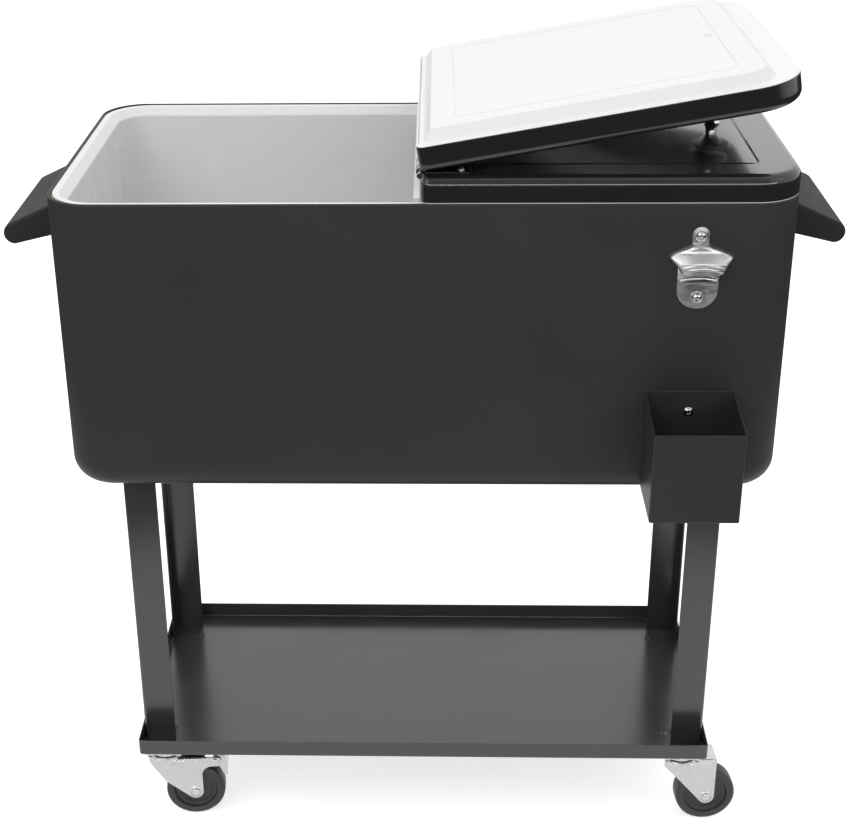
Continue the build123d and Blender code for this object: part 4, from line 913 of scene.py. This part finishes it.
def forkPart(braked):
    # Two cheeks under a round crown that is straight behind, with a rippled edge, a
    # boss round the axle, the crest, and a stamp on the braked one.
    s = forkShape
    faceY = -s["cheekOut"] + s["sink"]
    back = s["armStart"] if braked else casterShape["trail"] + s["end"]
    arc = np.linspace(math.radians(s["crownOpen"]), math.radians(360 - s["crownOpen"]), 40)
    crown = np.vstack([arcPoints((0, 0), (s["crown"], s["crown"]), arc), [(back, faceY), (back, -faceY)]])
    axle = (casterShape["trail"], faceY, casterShape["wheel"])
    parts = bothSides(alongY(roundedPlate(cheekOutline(braked), s["cheekIn"], s["cheekOut"], s["edge"])))
    parts.append(roundedPlate(crown, s["crownBottom"], s["crownTop"], s["edge"]))
    parts.append(latheMesh(s["ripple"], count=56))
    parts += bothSides(latheMesh(s["boss"], axle, count=40, forward=True))
    parts += bothSides(crestPart(braked))
    if braked:
        parts.append(latheMesh(s["stamp"], (s["stampX"], faceY, s["stampZ"]), count=24, forward=True))
    return joinMeshes(parts)


def platePart():
    # The top plate and the lathed cup of the ball race under it.
    s = plateShape
    outline = cornerPath(rectangle(-s["halfX"], -s["halfY"], s["halfX"], s["halfY"]), s["corner"], steps=8)
    cup = [(s["cup"] * share, s["raceBottom"] + up) for share, up in s["cupLine"]]
    return joinMeshes([roundedPlate(outline, s["bottom"], s["top"], s["edge"]), latheMesh(cup, count=56)])


def wheelPart():
    # The section of one wheel, closed on itself and swept round its axle.
    half, count = wheelShape["section"], wheelShape["count"]
    section = [*half, *((radius, -width) for radius, width in half[::-1])]
    points = ringRows(section, count).reshape(-1, 3)[:, [0, 2, 1]]
    points = points + (casterShape["trail"], 0, casterShape["wheel"])
    return points, gridFaces(len(section), count, closeRows=True)


def pedalPart():
    # A pressed channel hung from the pin: two side plates and a curved back, which
    # is its middle line moved out to both sides by half its thickness.
    s = pedalShape
    pivot = np.array(s["pivot"])
    side = cornerPath(pivot + s["side"], s["sideRounds"], steps=5)
    back = cornerPath(pivot + s["back"], s["backRounds"], steps=8, closed=False)
    ahead = np.gradient(back, axis=0)
    normal = np.column_stack([-ahead[:, 1], ahead[:, 0]]) / np.linalg.norm(ahead, axis=1, keepdims=True)
    out = normal * s["backThick"] / 2
    sheet = np.vstack([back - out, (back + out)[::-1]])
    parts = bothSides(alongY(roundedPlate(side, s["sideIn"], s["sideOut"], s["sideEdge"])))
    return joinMeshes([*parts, alongY(roundedPlate(sheet, -s["backHalf"], s["backHalf"], s["backEdge"]))])


def makeCasters():
    plates = []
    for corner in ("front_right", "front_left", "back_right", "back_left"):
        x, y, _ = jointOf[corner + "_swivel"]["pos_m"]
        spin = jointOf[corner + "_wheel_spin"]["axis"]
        place = shift(x, y, 0) @ turn(math.degrees(math.atan2(-spin[0], spin[1])), "Z")
        label, braked = corner.replace("_", ""), corner.endswith("left")
        plates.append(moved(platePart(), shift(x, y, 0)))
        newPiece(label + "ForkPressing", moved(forkPart(braked), place),
                 corner + "_fork", "zincPlate", corner + "_caster")
        newPiece(label + "WheelMoulding", moved(wheelPart(), place),
                 corner + "_wheel", "wheelPlastic", corner + "_roller")
        if braked:
            newPiece(label + "BrakePedal", moved(pedalPart(), place),
                     corner + "_brake_lever", "zincPlate", corner + "_brake")
    newPiece("casterTopPlates", joinMeshes(plates), "caster_plates", "zincPlate")


makeCasters()
print("stage: casters")


# Camera, as worked out from the photograph's straight edges

photo = {
    "width": 851, "focalPixels": 1619.7, "centreX": 384.07, "sensor": 36.0, "clipEnd": 50,
    "place": (0.01689, -1.77167, 1.34203),   # from the middle of the box, above the floor
    "pitch": 25.32, "yaw": -2.04, "roll": -0.77,
}


def makeCamera():
    # Yaw turns the view about Z, pitch tips it down, and roll turns it about itself.
    s = photo
    pitch, yaw, roll = (math.radians(s[key]) for key in ("pitch", "yaw", "roll"))
    ahead = np.array([math.sin(yaw) * math.cos(pitch), math.cos(yaw) * math.cos(pitch), -math.sin(pitch)])
    right = np.array([math.cos(yaw), -math.sin(yaw), 0])
    up = np.cross(right, ahead)
    matrix = np.eye(4)
    matrix[:3, 0] = math.cos(roll) * right + math.sin(roll) * up
    matrix[:3, 1] = -math.sin(roll) * right + math.cos(roll) * up
    matrix[:3, 2] = -ahead
    matrix[:3, 3] = np.array(s["place"]) + (0, centreY, 0)
    lens = bpy.data.cameras.new("photoCamera")
    lens.sensor_width = s["sensor"]
    lens.lens = s["focalPixels"] / s["width"] * s["sensor"]
    lens.shift_x = 0.5 - s["centreX"] / s["width"]
    lens.clip_end = s["clipEnd"]
    camera = newObject("photoCamera", lens)
    camera.matrix_world = Matrix(matrix.tolist())
    bpy.context.scene.camera = camera


makeCamera()


# Studio: white floor and soft light

studio = {
    "floorSize": 14.0, "floorColour": (0.8, 0.8, 0.8, 1),
    "floorRough": 0.8, "floorSpecular": 0.1, "floorGlow": 0.66,
    "mirrorNear": 0.85, "mirrorFar": 1.40, "mirrorDark": 0.04, "mirrorSquash": 0.8,
    "skyTop": 1.14, "skyLow": 0.32,
    "frontFrom": 0.1, "frontFull": 0.6, "frontDim": 0.45,
    "stripHeight": 0.14, "stripHalf": 0.045, "stripPower": 9.0, "aimHeight": 0.5,
}
lamps = {      # power, place and size
    "key": (21.0, (-1.6, -2.2, 2.9), 2.2),
    "fill": (5.0, (2.4, -1.4, 2.2), 1.8),
    "back": (5.0, (0.3, 2.4, 2.6), 2.6),
}


def lightPath(tree):
    # What the camera sees, and what is mirrored or seen through.
    ray = newNode(tree, "LightPath", {}).outputs
    return ray["Is Camera Ray"], mathNode(tree, "MAXIMUM", ray["Is Glossy Ray"], ray["Is Transmission Ray"])


def makeWorld():
    # Seen, the world is white. Mirrored it is white too, but dim towards the front,
    # with one bright strip low down there. As light it fades down the sky.
    s = studio
    world = bpy.data.worlds.new("studio")
    bpy.context.scene.world = world
    world.use_nodes = True
    tree = world.node_tree
    direct, mirror = lightPath(tree)
    seen = mathNode(tree, "MAXIMUM", direct, mirror)
    place = newNode(tree, "TexCoord", {}).outputs["Generated"]
    split = newNode(tree, "SeparateXYZ", {"Vector": place}).outputs
    sky = mapRange(tree, split["Z"], 0, 1, s["skyLow"], s["skyTop"])
    strength = mapRange(tree, seen, 0, 1, sky, 1)
    frontDim = mapRange(tree, split["Y"], -s["frontFrom"], -s["frontFull"], 1, s["frontDim"], "SMOOTHSTEP")
    dimmed = mathNode(tree, "MULTIPLY", strength, mapRange(tree, mirror, 0, 1, 1, frontDim))
    away = mathNode(tree, "ABSOLUTE", mathNode(tree, "SUBTRACT", split["Z"], s["stripHeight"]))
    within = mathNode(tree, "LESS_THAN", away, s["stripHalf"])
    ahead = mathNode(tree, "LESS_THAN", split["Y"], -s["frontFull"])
    strip = mathNode(tree, "MULTIPLY", mathNode(tree, "MULTIPLY", within, ahead), mirror)
    lit = mathNode(tree, "MULTIPLY_ADD", strip, s["stripPower"], dimmed)
    feed(tree, tree.nodes["Background"], {"Color": (1, 1, 1, 1), "Strength": lit})


def makeFloor():
    # A pale plane. The camera sees white added to it, so a light shadow stays, and
    # mirrored it is white near the cooler and dark from mirrorFar outwards.
    s = studio
    half = s["floorSize"] / 2
    mesh = bpy.data.meshes.new("floor")
    mesh.from_pydata([(x, y, 0) for x, y in rectangle(-half, -half, half, half)], [], [(0, 1, 2, 3)])
    material = bpy.data.materials.new("floorWhite")
    material.use_nodes = True
    tree = material.node_tree
    looks = {"Base Color": s["floorColour"], "Roughness": s["floorRough"], "Specular IOR Level": s["floorSpecular"]}
    shader = feed(tree, tree.nodes["Principled BSDF"], looks)
    direct, mirror = lightPath(tree)
    place = newNode(tree, "TexCoord", {}).outputs["Object"]
    squashed = newNode(tree, "Mapping", {"Vector": place, "Scale": (s["mirrorSquash"], 1, 0)}).outputs["Vector"]
    away = newNode(tree, "VectorMath", {0: squashed}, operation="LENGTH").outputs["Value"]
    near = mapRange(tree, away, s["mirrorNear"], s["mirrorFar"], 1, s["mirrorDark"], "SMOOTHSTEP")
    seen = mathNode(tree, "MULTIPLY", direct, s["floorGlow"])
    power = mathNode(tree, "MAXIMUM", seen, mathNode(tree, "MULTIPLY", mirror, near))
    glow = newNode(tree, "Emission", {"Strength": power}).outputs[0]
    both = newNode(tree, "AddShader", {0: shader.outputs[0], 1: glow}).outputs[0]
    mixed = newNode(tree, "MixShader", {0: mirror, 1: both, 2: glow}).outputs[0]
    feed(tree, tree.nodes["Material Output"], {"Surface": mixed})
    mesh.materials.append(material)
    newObject("floor", mesh)


def makeLamp(name, power, place, size):
    # A square lamp that faces the middle of the cooler.
    lamp = bpy.data.lights.new(name, "AREA")
    lamp.energy = power
    lamp.size = size
    placed = newObject(name, lamp)
    placed.location = place
    away = Vector(place) - Vector((0, centreY, studio["aimHeight"]))
    placed.rotation_euler = away.to_track_quat("Z", "Y").to_euler()


makeWorld()
makeFloor()
for lampName, values in lamps.items():
    makeLamp(lampName, *values)
bpy.context.scene.view_settings.view_transform = "Standard"
print("stage: camera and light")
